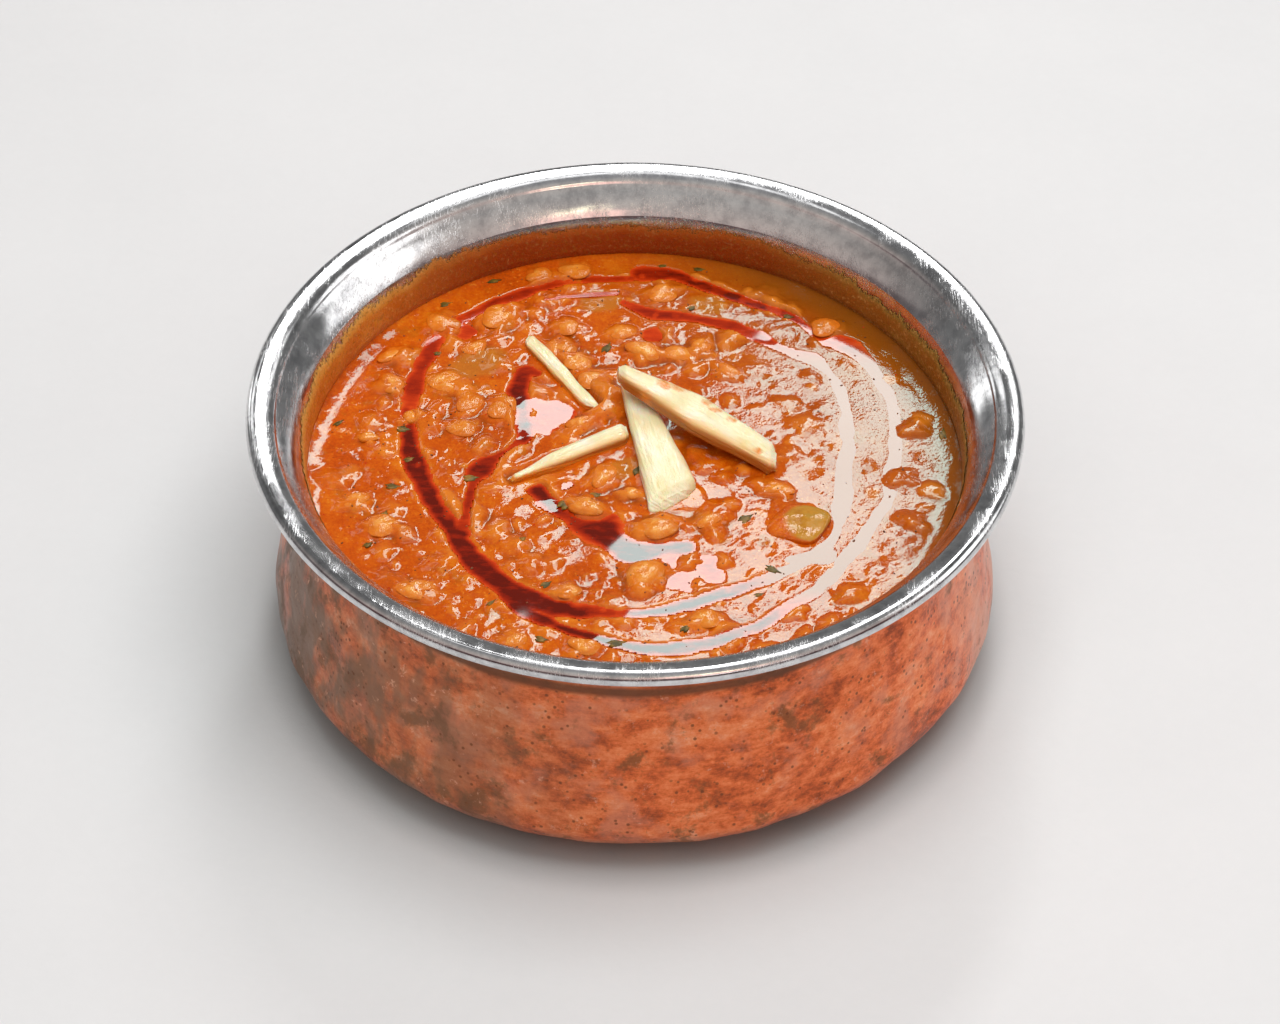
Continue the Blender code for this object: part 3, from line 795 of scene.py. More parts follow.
def bowl_outline(points_a_curve):
    """The copper's outer outline, from the middle of the base up to the lip."""
    points = [(0.0, 0.0), (BASE_RADIUS * 0.5, 0.0), (BASE_RADIUS, 0.0)]
    for i in range(1, points_a_curve + 1):
        angle = math.radians(90) * i / points_a_curve
        out = math.sin(angle) ** (2 / FOOT_ROUNDNESS)
        drop = max(math.cos(angle), 0.0) ** (2 / FOOT_ROUNDNESS)
        points.append((lerp(BASE_RADIUS, BELLY_RADIUS, out), BELLY_HEIGHT * (1 - drop)))
    for i in range(1, points_a_curve + 1):
        rise = i / points_a_curve
        radius = BELLY_RADIUS - (BELLY_RADIUS - NECK_RADIUS) * rise ** SHOULDER_SLOPE
        points.append((radius, lerp(BELLY_HEIGHT, NECK_HEIGHT, rise)))
    neck = Vector((NECK_RADIUS, NECK_HEIGHT))
    edge = Vector((FLARE_RADIUS, FLARE_HEIGHT))
    flare = interpolate_bezier(neck, neck + Vector((-0.1, 5.8)), edge - Vector((2.6, 2.5)), edge,
                               points_a_curve // 2 + 1)
    return points + [tuple(point) for point in flare[1:]]


def inset(outline, distance):
    """The outline moved inwards by a distance, square to itself."""
    moved = []
    for i, point in enumerate(outline):
        before = Vector(outline[max(i - 1, 0)])
        after = Vector(outline[min(i + 1, len(outline) - 1)])
        along = (after - before).normalized()
        moved.append((max(point[0] - along.y * distance, 0.0), point[1] + along.x * distance))
    moved[0] = (0.0, distance)
    return moved


def radius_at(outline, height):
    """The widest radius of an outline at a height."""
    best = 0.0
    for (r0, z0), (r1, z1) in zip(outline, outline[1:]):
        if min(z0, z1) <= height <= max(z0, z1) and z1 != z0:
            best = max(best, lerp(r0, r1, (height - z0) / (z1 - z0)))
    return best


def turned(name, section, steps):
    """A body turned from its section: one vertex extruded along it and spun round Z."""
    start_clean()
    bpy.ops.mesh.primitive_plane_add(size=0.001)
    piece = take_new(name)
    edit_all(piece)
    bpy.ops.mesh.merge(type="CENTER")
    bpy.ops.transform.translate(value=(section[0][0] * MM, 0.0, section[0][1] * MM))
    for (r0, z0), (r1, z1) in zip(section, section[1:]):
        move = {"value": ((r1 - r0) * MM, 0.0, (z1 - z0) * MM)}
        bpy.ops.mesh.extrude_region_move(TRANSFORM_OT_translate=move)
    bpy.ops.mesh.select_all(action="SELECT")
    bpy.ops.mesh.spin(steps=steps, angle=math.radians(360), center=(0, 0, 0), axis=(0, 0, 1))
    bpy.ops.object.mode_set(mode="OBJECT")
    clean_up(piece)
    return piece


def hammer(piece):
    """Dents beaten into the copper's outside, 7 to 12 mm across."""
    rng = np.random.default_rng(11)
    points = get_points(piece)
    normals = get_normals(piece)
    outer = (normals[:, 0] * points[:, 0] + normals[:, 1] * points[:, 1] > 0) & (points[:, 2] > 0.4)
    around = np.arctan2(points[:, 1], points[:, 0])
    depth = np.zeros(len(points))
    for row_height, count in DENT_ROWS:
        for i in range(count):
            angle = 2 * math.pi * (i + rng.uniform(-0.35, 0.35)) / count + row_height
            height = row_height + rng.uniform(-2.0, 2.0)
            size = rng.uniform(3.6, 6.2)
            tall = rng.uniform(0.8, 1.5)
            lean = rng.uniform(-0.5, 0.5)
            beat = rng.uniform(0.12, 0.48)
            side = (around - angle + math.pi) % (2 * math.pi) - math.pi
            up = (points[:, 2] - height) / (size * tall)
            across = side * 65.0 / size + up * lean
            depth += beat * np.exp(-1.6 * (across * across + up * up))
    fade = smooth_step(points[:, 2], 0.5, 5.0) * (1 - smooth_step(points[:, 2], 38.0, 43.0))
    shift = np.where(outer, (0.16 - np.minimum(depth, 0.8)) * fade, 0.0)
    wobble = 0.15 * np.sin(around * 3 + 0.6) * fade * outer
    points += normals * (np.minimum(shift, 0.1) + wobble)[:, None]
    set_points(piece, points)


def make_copper_shell(finish):
    outer = bowl_outline(26)
    inner = inset(bowl_outline(5), SHEET)
    piece = turned("hammered_copper_shell", outer + inner[::-1], 400)
    hammer(piece)
    return finish_piece(piece, finish, ["copper_shell"])


def make_steel_liner(finish):
    inner = inset(bowl_outline(16), 2 * SHEET + GAP)
    outer = inset(bowl_outline(6), SHEET + GAP)
    centre = Vector((RIM_RADIUS - BEAD_RADIUS, BEAD_HEIGHT))
    last = Vector(inner[-1])
    lip = interpolate_bezier(last, last + Vector((0.35, 0.75)), Vector((66.0, 53.0)),
                             centre + BEAD_RADIUS * Vector((-0.26, 0.966)), 10)
    bead = []
    for i in range(1, 20):
        angle = lerp(math.radians(105), math.radians(-170), i / 19)
        bead.append(tuple(centre + BEAD_RADIUS * Vector((math.cos(angle), math.sin(angle)))))
    underside = [(66.4, 51.75), (65.8, 51.55)]
    section = inner + [tuple(p) for p in lip[1:]] + bead + underside + outer[::-1]
    piece = turned("polished_steel_liner", section, 256)
    return finish_piece(piece, finish, ["steel_liner"])


# ---------------------------------------------------------------- the gravy

def trail_samples(points):
    """A smooth line through the points of a trail, as rows (x, y, half width, depth)."""
    rows = np.array(points, float)
    ends = np.vstack([2 * rows[0] - rows[1], rows, 2 * rows[-1] - rows[-2]])
    samples = []
    for i in range(1, len(ends) - 2):
        p0, p1, p2, p3 = ends[i - 1:i + 3]
        count = max(2, int(np.hypot(*(p2 - p1)[:2]) / 0.6))
        for t in np.linspace(0, 1, count, endpoint=False):
            curve = (2 * p1 + (p2 - p0) * t + (2 * p0 - 5 * p1 + 4 * p2 - p3) * t * t
                     + (3 * p1 - p0 - 3 * p2 + p3) * t ** 3)
            samples.append(curve / 2)
    return np.array(samples)


def oil_groove(x, y):
    """How deep the gravy is pushed down by the oil, and where its flat banks are."""
    depth = np.zeros_like(x)
    banks = np.zeros_like(x)
    wander = 0.55 * mottle(x, y, 4.2, 31) + 0.3 * mottle(x, y, 1.7, 32)
    for points in OIL_TRAILS.values():
        samples = trail_samples(points)
        low = samples[:, :2].min(0) - 6
        high = samples[:, :2].max(0) + 6
        near = (x > low[0]) & (x < high[0]) & (y > low[1]) & (y < high[1])
        xs, ys = x[near], y[near]
        best = np.full(len(xs), 99.0)
        groove = np.zeros(len(xs))
        for sx, sy, width, deep in samples:
            reach = np.hypot(xs - sx, ys - sy) / max(width, 0.3)
            closer = reach < best
            best[closer] = reach[closer]
            groove[closer] = deep
        best += wander[near] * 0.45 + 0.16
        groove *= 1 - smooth_step(best, 0.55, 1.4)
        depth[near] = np.maximum(depth[near], groove)
        banks[near] = np.maximum(banks[near], 1 - smooth_step(best, 1.5, 2.8))
    flush = smooth_step(x, 18, 27) * smooth_step(y, -38, -32) * (1 - smooth_step(y, 28, 36))
    return depth * (1 - 0.93 * flush), banks * flush


def from_middle(x, y, cx, cy, turn):
    """The places measured from a middle, along and across a direction."""
    angle = math.radians(turn)
    return ((x - cx) * math.cos(angle) + (y - cy) * math.sin(angle),
            (y - cy) * math.cos(angle) - (x - cx) * math.sin(angle))


def pool_shape(x, y, pool):
    """0 at the middle of a pool and 1 at its edge."""
    px, py, length, width, turn = pool[:5]
    u, v = from_middle(x, y, px, py, turn)
    return np.sqrt((u / length) ** 2 + (v / width) ** 2)


def dome(x, y, cx, cy, length, width, turn):
    """0 outside an oval and rising to 1 at its middle."""
    u, v = from_middle(x, y, cx, cy, turn)
    return np.clip(1 - (2 * u / length) ** 2 - (2 * v / width) ** 2, 0.0, 1.0)


def random_place(rng, reach):
    """A place on the gravy within a reach of its middle."""
    radius = reach * math.sqrt(rng.uniform(0, 1))
    angle = rng.uniform(0, 2 * math.pi)
    return radius * math.cos(angle), radius * math.sin(angle)


def coated_lentils():
    """Lentils wholly under the gravy's skin, scattered among the ones that show."""
    rng = np.random.default_rng(7)
    found = []
    while len(found) < COATED_COUNT:
        x, y = random_place(rng, 55.5)
        length = rng.uniform(2.8, 6.4) if rng.uniform(0, 1) > 0.45 else rng.uniform(1.2, 2.6)
        calm = 0.35 if x > 20 and -36 < y < 40 else 1.0
        if rng.uniform(0, 1) > calm:
            continue
        if any(math.hypot(x - f[0], y - f[1]) < 0.28 * (length + f[2]) for f in found + LENTILS):
            continue
        proud = rng.uniform(0.07, 0.17) * length * (0.35 if calm < 1 else 1.0)
        found.append((x, y, length, length * rng.uniform(0.6, 0.9), rng.uniform(0, 180), proud,
                      rng.uniform(0.0, 1.0)))
    return found


def stick_distance(x, y, stick):
    """How far a point is from a stick's sides, seen from above, and its underside's height."""
    head = np.array(stick["head"][:2])
    tail = np.array(stick["tail"][:2])
    run = tail - head
    length = np.hypot(*run)
    along = ((x - head[0]) * run[0] + (y - head[1]) * run[1]) / length ** 2
    side = np.abs(((y - head[1]) * run[0] - (x - head[0]) * run[1]) / length)
    share = np.clip(along, 0, 1)
    beyond = np.abs(along - share) * length
    width = np.interp(share, [0, 0.5, 1], stick["widths"]) / 2
    height = stick["head"][2] + (stick["tail"][2] - stick["head"][2]) * share - stick["thick"]
    return np.hypot(np.maximum(side - width, 0), beyond), height


def compare_with_round(height):
    """How far each grid point stands over the mean of the ones round it."""
    side = GRAVY_GRID + 1
    grid = height.reshape(side, side)
    mean = grid
    for axis in (0, 1):
        total = np.zeros_like(grid)
        for shift in range(-5, 6):
            total += np.roll(mean, shift, axis)
        mean = total / 11
    return (grid - mean).ravel()


def gravy_level(x, y):
    """The gravy's slow swell with its tilted pools, and how far each point lies in a pool."""
    level = 0.14 * mottle(x, y, 22, 1) + 0.06 * mottle(x, y, 9, 2)
    level *= 1 - smooth_step(np.hypot(x, y), 50, 57)
    level += 0.35 * np.exp(-((x + 4) ** 2 + (y + 44) ** 2) / 162)
    pools = np.zeros_like(x)
    ragged = 0.22 * mottle(x, y, 3.0, 21) + 0.12 * mottle(x, y, 1.4, 22)
    for pool in POOLS:
        reach = pool_shape(x, y, pool) + ragged
        pools = np.maximum(pools, 1 - smooth_step(reach, 0.75, 1.15))
        px, py, tilt_x, tilt_y = pool[0], pool[1], pool[5], pool[6]
        slope = (x - px) * math.tan(math.radians(tilt_x)) + (y - py) * math.tan(math.radians(tilt_y))
        level -= slope * (1 - smooth_step(reach, 0.9, 1.5))
    return level, pools


def gravy_mush(x, y, calm):
    """The pulp's fine unevenness where it isn't calm, and where it is rugged."""
    rugged = smooth_step(mottle(x, y, 8, 5) + 0.5 * mottle(x, y, 3.2, 7), -0.2, 0.35)
    mush = 0.045 * mottle(x, y, 6.0, 3) + 0.02 * mottle(x, y, 3.2, 4)
    mush += rugged * (0.11 * mottle(x, y, 2.5, 6) + 0.05 * mottle(x, y, 1.4, 8))
    behind = smooth_step(y, 20, 44)
    inland = 1 - smooth_step(np.hypot(x, y) - 1.5 * behind, 54.5, 57.0)
    return mush * calm * (1 + 0.8 * behind) * inland, rugged


def lentil_mounds(x, y, level_oil):
    """The mounds that lentils raise in the gravy, flat under level oil, and where they are pale."""
    mounds = np.zeros_like(x)
    paleness = np.zeros_like(x)
    wavy_x = x + 0.5 * mottle(x, y, 2.2, 12) + 0.2 * mottle(x, y, 1.0, 14)
    wavy_y = y + 0.5 * mottle(x, y, 2.2, 13) + 0.2 * mottle(x, y, 1.0, 15)
    for cx, cy, length, width, turn, proud, bare in coated_lentils():
        bulge = dome(wavy_x, wavy_y, cx, cy, length * 1.35, width * 1.35, turn)
        mounds += proud * bulge ** 1.3 * (1 - level_oil)
        paleness = np.maximum(paleness, bare * smooth_step(bulge, 0.25, 0.9))
    for cx, cy, length, width, turn, proud, bare in LENTILS:
        bulge = dome(2 * wavy_x - x, 2 * wavy_y - y, cx, cy, length * 1.5, width * 1.5, turn)
        mounds += 0.85 * proud * bulge ** 1.2
        paleness = np.maximum(paleness, 0.8 * bare * smooth_step(bulge, 0.2, 0.8))
    return mounds, paleness


def onion_cover(x, y):
    """Where the pale soft pieces show through the gravy."""
    cover = np.zeros_like(x)
    for cx, cy, length, width, turn in ONION_FLATS:
        flat = dome(x, y, cx, cy, length * 1.3, width * 1.3, turn) + 0.2 * mottle(x, y, 2.5, 41)
        cover = np.maximum(cover, smooth_step(flat, 0.1, 0.7))
    return cover


def shore_rise(x, y):
    """How the gravy climbs where it meets the steel."""
    short = smooth_step(-y, 4, 12) * (x < 0)
    rise = np.clip(np.hypot(x, y) - 55.9 - 1.9 * short + 0.35 * mottle(x, y, 3.0, 16), 0, 4.6)
    return (0.042 + 0.07 * short) * rise ** 2


def gravy_surface(x, y):
    """The gravy over its level, in millimetres, and what shows where on it."""
    groove, banks = oil_groove(x, y)
    level, pools = gravy_level(x, y)
    ring = smooth_step(groove, 0.0, 0.04)
    calm = 1 - np.maximum(0.75 * np.maximum(pools, ring), 0.97 * banks)
    mush, rugged = gravy_mush(x, y, calm)
    mounds, lentil = lentil_mounds(x, y, np.maximum(ring, banks))
    height = level + mush + mounds
    height -= np.maximum(groove, pools * 0.32) * (1 - 0.5 * smooth_step(lentil, 0.2, 0.8))
    for stick in STICKS.values():
        distance, underside = stick_distance(x, y, stick)
        touching = 1 - smooth_step(underside, -0.2, 1.2)
        height += 0.35 * touching * np.exp(-distance / 0.9)
    height += 0.5 * dome(x, y, *PEPPER_MOUND, PEPPER_TURN) ** 1.4
    height += shore_rise(x, y)
    for stick in STICKS.values():
        distance, underside = stick_distance(x, y, stick)
        under = smooth_step(-distance, -1.2, -0.3)
        bed = np.maximum(underside + 0.35 * stick["thick"], -0.4)
        height -= under * np.clip(height - bed, 0, None)
    return dict(x=x, y=y, height=height, oil=level - OIL_SINK * (1 + banks), groove=groove,
                banks=banks, pools=pools, lentil=lentil, onion=onion_cover(x, y),
                rugged=rugged * (1 - pools))


def disc_grid(name, count, radius, height):
    """A grid primitive drawn out into a disc, so that its faces stay even."""
    start_clean()
    bpy.ops.mesh.primitive_grid_add(x_subdivisions=count, y_subdivisions=count, size=2 * MM,
                                    location=(0, 0, height * MM))
    piece = take_new(name)
    points = get_points(piece)
    u, v = points[:, 0].copy(), points[:, 1].copy()
    points[:, 0] = radius * u * np.sqrt(1 - v * v / 2)
    points[:, 1] = radius * v * np.sqrt(1 - u * u / 2)
    set_points(piece, points)
    return piece


def make_gravy(finish):
    """The gravy: its surface shaped by what lies in it, and its sides down along the steel."""
    piece = disc_grid("lentil_gravy", GRAVY_GRID, GRAVY_RADIUS, GRAVY_LEVEL)
    points = get_points(piece)
    x, y = points[:, 0], points[:, 1]
    surface = gravy_surface(x, y)
    points[:, 2] = GRAVY_LEVEL + surface["height"]
    set_points(piece, points)
    for name in ("lentil", "onion", "rugged"):
        set_attribute(piece, name, surface[name])
    radius = np.hypot(x, y)
    over = compare_with_round(surface["height"]) * (1 - smooth_step(radius, 54, 57))
    over *= 1 - smooth_step(surface["groove"], 0.0, 0.3)
    # Painted shade: hollows below the mean round them are marked for darkening in the finish.
    set_attribute(piece, "hollow", smooth_step(-over, 0.06, 0.34))
    set_attribute(piece, "crest", smooth_step(over, 0.10, 0.42))
    set_attribute(piece, "oily", smooth_step(surface["groove"], 0.0, 0.25))
    # Painted shade: marks the back-right shore, in the wall's shadow, for darkening in the finish.
    set_attribute(piece, "shore", smooth_step(radius, 51, 58) * smooth_step(x + 0.45 * y, 22, 60))
    draw_down(piece)
    clean_up(piece)
    finish_piece(piece, finish, ["curry"])
    return surface


def draw_down(piece):
    """The gravy's sides, extruded from its edge down along the steel and closed below."""
    wall = inset(bowl_outline(5), 2 * SHEET + 2 * GAP)
    down = [p for p in wall if p[1] < GRAVY_LEVEL - 1.5 and p[0] > 20][::-1]
    edit_all(piece)
    bpy.ops.mesh.region_to_loop()
    radius, level = GRAVY_RADIUS, GRAVY_LEVEL
    for next_radius, next_level in down:
        move = {"value": (0, 0, (next_level - level) * MM)}
        bpy.ops.mesh.extrude_region_move(TRANSFORM_OT_translate=move)
        share = next_radius / radius
        bpy.ops.transform.resize(value=(share, share, 1), center_override=(0, 0, 0))
        radius, level = next_radius, next_level
    bpy.ops.mesh.extrude_region_move()
    bpy.ops.mesh.merge(type="COLLAPSE")
    bpy.ops.object.mode_set(mode="OBJECT")


def make_oil(finish, surface):
    """The oil: a level film kept where it stands over the gravy's bed."""
    piece = disc_grid("chilli_oil", GRAVY_GRID, GRAVY_RADIUS, GRAVY_LEVEL)
    depth = surface["oil"] - surface["height"]
    wet = (surface["groove"] > 0.001) | (surface["pools"] > 0.03)
    film = wet & (depth > -0.2)
    points = get_points(piece)
    points[:, 2] = GRAVY_LEVEL + surface["oil"]
    set_points(piece, points)
    set_attribute(piece, "depth", np.clip(depth, 0, 1))
    set_attribute(piece, "thin", surface["banks"])
    edit_all(piece)
    mesh = bmesh.from_edit_mesh(piece.data)
    mesh.verts.ensure_lookup_table()
    for vert in mesh.verts:
        vert.select = not film[vert.index]
    mesh.select_flush_mode()
    bmesh.update_edit_mesh(piece.data)
    bpy.ops.mesh.delete(type="VERT")
    bpy.ops.mesh.select_all(action="SELECT")
    bpy.ops.mesh.delete_loose()
    bpy.ops.object.mode_set(mode="OBJECT")
    bpy.ops.object.shade_smooth()
    edit_all(piece)
    bpy.ops.mesh.region_to_loop()
    bpy.ops.mesh.mark_sharp()
    bpy.ops.object.mode_set(mode="OBJECT")
    apply_modifier(piece, "SOLIDIFY", thickness=0.3 * MM, offset=-1.0)
    return finish_piece(piece, finish)


def gravy_top(surface, x, y):
    """The gravy's height at a place."""
    nearest = np.argmin((surface["x"] - x) ** 2 + (surface["y"] - y) ** 2)
    return max(surface["height"][nearest], surface["oil"][nearest])


def lentil_shape(shape, row, base, rng):
    """One lentil's points: the model drawn out to its size, uneven, dented and tipped."""
    cx, cy, length, width, turn, proud, _ = row
    points = shape.copy()
    angle = np.arctan2(points[:, 1], points[:, 0])
    squash = (1 + 0.11 * np.sin(2 * angle + rng.uniform(0, 6))
              + 0.09 * np.sin(3 * angle + rng.uniform(0, 6)))
    dent = rng.uniform(0.0, 0.12)
    high = shape[:, 2]
    along = points[:, 0] * length * squash
    across = points[:, 1] * width * squash
    middle = np.exp(-((across / width) ** 2) * 14)
    up = high * 1.3 * proud * (1 - dent * middle)
    up += (0.14 * mottle(along + cx * 2, across + cy * 2, 2.0, 51)
           + 0.10 * mottle(along + cx * 2, across + cy * 2, 0.9, 52)) * (high > 0)
    tip = rng.uniform(-0.16, 0.16)
    up += along * tip * 0.5
    turn = math.radians(turn)
    points[:, 0] = cx + along * math.cos(turn) - across * math.sin(turn)
    points[:, 1] = cy + along * math.sin(turn) + across * math.cos(turn)
    points[:, 2] = GRAVY_LEVEL + base + up
    return points


def make_lentils(finish, surface):
    """Split lentils, half sunk: a ball drawn out, its underside cut off, and pinched."""
    start_clean()
    bpy.ops.mesh.primitive_uv_sphere_add(segments=32, ring_count=20, radius=0.5 * MM)
    model = take_new("lentil")
    edit_all(model)
    bpy.ops.mesh.bisect(plane_co=(0, 0, -0.22 * MM), plane_no=(0, 0, 1), use_fill=True,
                        clear_inner=True)
    bpy.ops.object.mode_set(mode="OBJECT")
    clean_up(model)
    shape = get_points(model)
    rng = np.random.default_rng(5)
    copies = []
    bareness = []
    for row in LENTILS:
        x, y, proud, bare = row[0], row[1], row[5], row[6]
        if bare < 0.4:
            continue
        copy = copy_of(model, "lentil_copy")
        base = gravy_top(surface, x, y) - 0.50 * proud
        set_points(copy, lentil_shape(shape, row, base, rng))
        copies.append(copy)
        bareness.append(bare * (0.45 + 0.55 * smooth_step(shape[:, 2], 0.3, 0.5)))
    piece = join_copies(copies, model, "split_lentils")
    set_attribute(piece, "bare", np.concatenate(bareness))
    return finish_piece(piece, finish)


def make_smear(finish):
    """The gravy's film on the steel above its level, with a ragged upper edge."""
    inner = inset(bowl_outline(16), 2 * SHEET + GAP + 0.12)
    above = [p for p in inner if p[1] > 12]
    section = []
    for i in range(SMEAR_ROWS + 1):
        level = lerp(SMEAR_LOW, SMEAR_HIGH, i / SMEAR_ROWS)
        section.append((radius_at(above, level), level))
    piece = turned("gravy_smear", section, 512)
    points = get_points(piece)
    around = np.arctan2(points[:, 1], points[:, 0])
    ragged = 0.5 * mottle(around * 60, around * 0, 9, 61)
    top = SMEAR_EDGE + ragged + 0.35 * mottle(around * 60, around * 0, 2.2, 62)
    top += 1.0 * smooth_step(np.cos(around - math.radians(145)), 0.5, 0.95)
    front = smooth_step(-np.sin(around), 0.35, 0.9)
    top -= SMEAR_FRONT_DROP * front
    film = np.clip((top - points[:, 2]) / 3.2, -0.3, 1.0)
    set_attribute(piece, "film", film)
    return finish_piece(piece, finish)


def stick_points(points, stick):
    """Turn a stick block's points, from -0.5 to 0.5 each way, into the cut stick."""
    head = Vector(stick["head"])
    tail = Vector(stick["tail"])
    run = tail - head
    along = points[:, 0] + 0.5
    side = 2 * points[:, 1]
    height = 2 * points[:, 2]
    width = np.interp(along, [0, 0.5, 1], stick["widths"])
    askew = side * (stick["skews"][0] + (stick["skews"][1] - stick["skews"][0]) * along)
    cut = stick["cut_back"] * np.maximum(0, 4 * along - 3) * (1 + height) / 2
    flat = np.empty_like(points)
    flat[:, 0] = along * run.length - askew - cut
    flat[:, 1] = side * width / 2
    flat[:, 2] = (height - 1) * stick["thick"] / 2
    turn = Matrix.Rotation(math.atan2(run.y, run.x), 3, "Z") @ Matrix.Rotation(
        -math.asin(run.z / run.length), 3, "Y")
    return flat, flat @ np.array(turn.transposed()) + np.array(head) + (0, 0, GRAVY_LEVEL)


def make_stick(name, stick, finish, seed):
    """A hand-cut stick: a block subdivided, its edges softened and its fibres raised."""
    start_clean()
    bpy.ops.mesh.primitive_cube_add(size=MM)
    piece = take_new(name + "_cut")
    apply_modifier(piece, "BEVEL", width=0.05 * MM, segments=1)
    edit_all(piece)
    bpy.ops.mesh.subdivide(number_cuts=9)
    bpy.ops.mesh.subdivide(number_cuts=2)
    bpy.ops.object.mode_set(mode="OBJECT")
    clean_up(piece)
    points = get_points(piece)
    rounded = np.abs(points * 2)
    reach = np.power((rounded[:, 1:] ** 3.2).sum(1), 1 / 3.2)
    scale = np.where(reach > 0.6, 1 / np.maximum(reach, 0.6), 1)
    points[:, 1:] *= np.minimum(scale, 1.06)[:, None]
    points[:, 1:] *= (1 - 0.42 * smooth_step(rounded[:, 0], 0.88, 1.0) ** 2)[:, None]
    flat, placed = stick_points(points, stick)
    set_points(piece, placed)
    normals = get_normals(piece)
    fibres = 0.09 * mottle(flat[:, 0] * 0.12, flat[:, 1] + flat[:, 2] * 1.7, 0.55, seed)
    lumps = 0.20 * mottle(flat[:, 0], flat[:, 1] + flat[:, 2], 4.0, seed + 1)
    placed += normals * (fibres + lumps)[:, None]
    placed[:, 1] += 0.6 * np.sin(math.pi * (points[:, 0] + 0.5)) - 0.3
    set_points(piece, placed)
    layer = piece.data.attributes.new("run", "FLOAT_VECTOR", "POINT")
    layer.data.foreach_set("vector", (flat * MM).astype(np.float32).ravel())
    low = 1 - smooth_step(placed[:, 2], GRAVY_LEVEL - 0.1, GRAVY_LEVEL + 1.1)
    # Painted shade: the side picked by the stick's shade sign, and its lower part, are marked for orange
    # bounce light and shade in the finish.
    across = 2 * points[:, 1] * stick["shade"]
    side = smooth_step(across - points[:, 2], -0.35, 0.95)
    stain = low * 0.9
    if name == "ginger_stick_4":
        for cx, cy, size in STAIN_SPOTS:
            spot = np.hypot(placed[:, 0] - cx, (placed[:, 1] - cy) * 1.3) / size
            stain = np.maximum(stain, 0.55 * (1 - smooth_step(spot, 0.3, 1.3)))
    set_attribute(piece, "stain", stain)
    set_attribute(piece, "side", side)
    return finish_piece(piece, finish, [name])


def make_pepper(finish):
    """The piece of pepper: a block, rounded, crumpled along a ridge and sunk in the gravy."""
    start_clean()
    bpy.ops.mesh.primitive_cube_add(size=MM)
    piece = take_new("pepper_chunk")
    edit_all(piece)
    bpy.ops.mesh.subdivide(number_cuts=15)
    bpy.ops.mesh.subdivide(number_cuts=1)
    bpy.ops.object.mode_set(mode="OBJECT")
    clean_up(piece)
    points = get_points(piece)
    u, v, w = (points * 2).T
    bulge = 1 / np.power(np.abs(u) ** 4 + np.abs(v) ** 4 + np.abs(w) ** 4, 0.25)
    u, v, w = u * bulge, v * bulge, w * bulge
    turn = math.radians(PEPPER_TURN)
    x = u * 5.0 + 0.5 * v
    y = v * 4.7 - 0.3 * u * u
    ridge = 0.4 * np.exp(-((v - 0.35 * u - 0.15) ** 2) * 6) + 0.3 * (0.6 - u) * 0.5
    z = w * 1.15 + np.where(w > 0, ridge * w, 0) + 0.2 * mottle(u * 5, v * 5, 2.2, 81)
    placed = np.column_stack([PEPPER_PLACE[0] + x * math.cos(turn) - y * math.sin(turn),
                              PEPPER_PLACE[1] + x * math.sin(turn) + y * math.cos(turn),
                              GRAVY_LEVEL - 0.1 + 0.12 * x + z])
    set_points(piece, placed)
    right = smooth_step(placed[:, 0], 25.0, 30.0)
    top = smooth_step(placed[:, 2], GRAVY_LEVEL + 0.5, GRAVY_LEVEL + 1.4)
    set_attribute(piece, "bare", right * top)
    return finish_piece(piece, finish, ["pepper_piece"])


def scatter(name, model, places, finish):
    """Copies of a small model at places (point, turn, tilt, size), joined into one piece."""
    shape = get_points(model)
    copies = []
    for (x, y, z), turn, tilt, size in places:
        copy = copy_of(model, name + "_copy")
        spin = Matrix.Rotation(turn, 3, "Z") @ Matrix.Rotation(tilt, 3, "X")
        set_points(copy, (shape * np.array(size)) @ np.array(spin.transposed()) + (x, y, z))
        copies.append(copy)
    return finish_piece(join_copies(copies, model, name), finish)


def make_herbs(finish, surface):
    """Torn bits of leaf lying on the gravy."""
    start_clean()
    bpy.ops.mesh.primitive_circle_add(vertices=14, radius=0.5 * MM, fill_type="NGON")
    model = take_new("herb")
    edit_all(model)
    bpy.ops.mesh.extrude_region_move(TRANSFORM_OT_translate={"value": (0, 0, 0.12 * MM)})
    bpy.ops.mesh.inset(thickness=0.15 * MM)
    bpy.ops.transform.translate(value=(0, 0, 0.05 * MM))
    bpy.ops.object.mode_set(mode="OBJECT")
    clean_up(model)
    points = get_points(model)
    angle = np.arctan2(points[:, 1], points[:, 0])
    torn = 1 + 0.16 * np.sin(angle * 3 + 1) + 0.2 * np.sin(angle * 5) + 0.1 * np.sin(angle * 7)
    points[:, :2] *= torn[:, None]
    points[:, 2] += 0.2 * points[:, 0] * points[:, 1]
    set_points(model, points)
    rng = np.random.default_rng(3)
    places = []
    for x, y, length, turn in HERBS:
        top = GRAVY_LEVEL + gravy_top(surface, x, y)
        size = (length * 0.8, length * rng.uniform(0.35, 0.7), 1.0)
        places.append(((x, y, top - 0.08), math.radians(turn), rng.uniform(-0.1, 0.1), size))
    return scatter("herb_bits", model, places, finish)


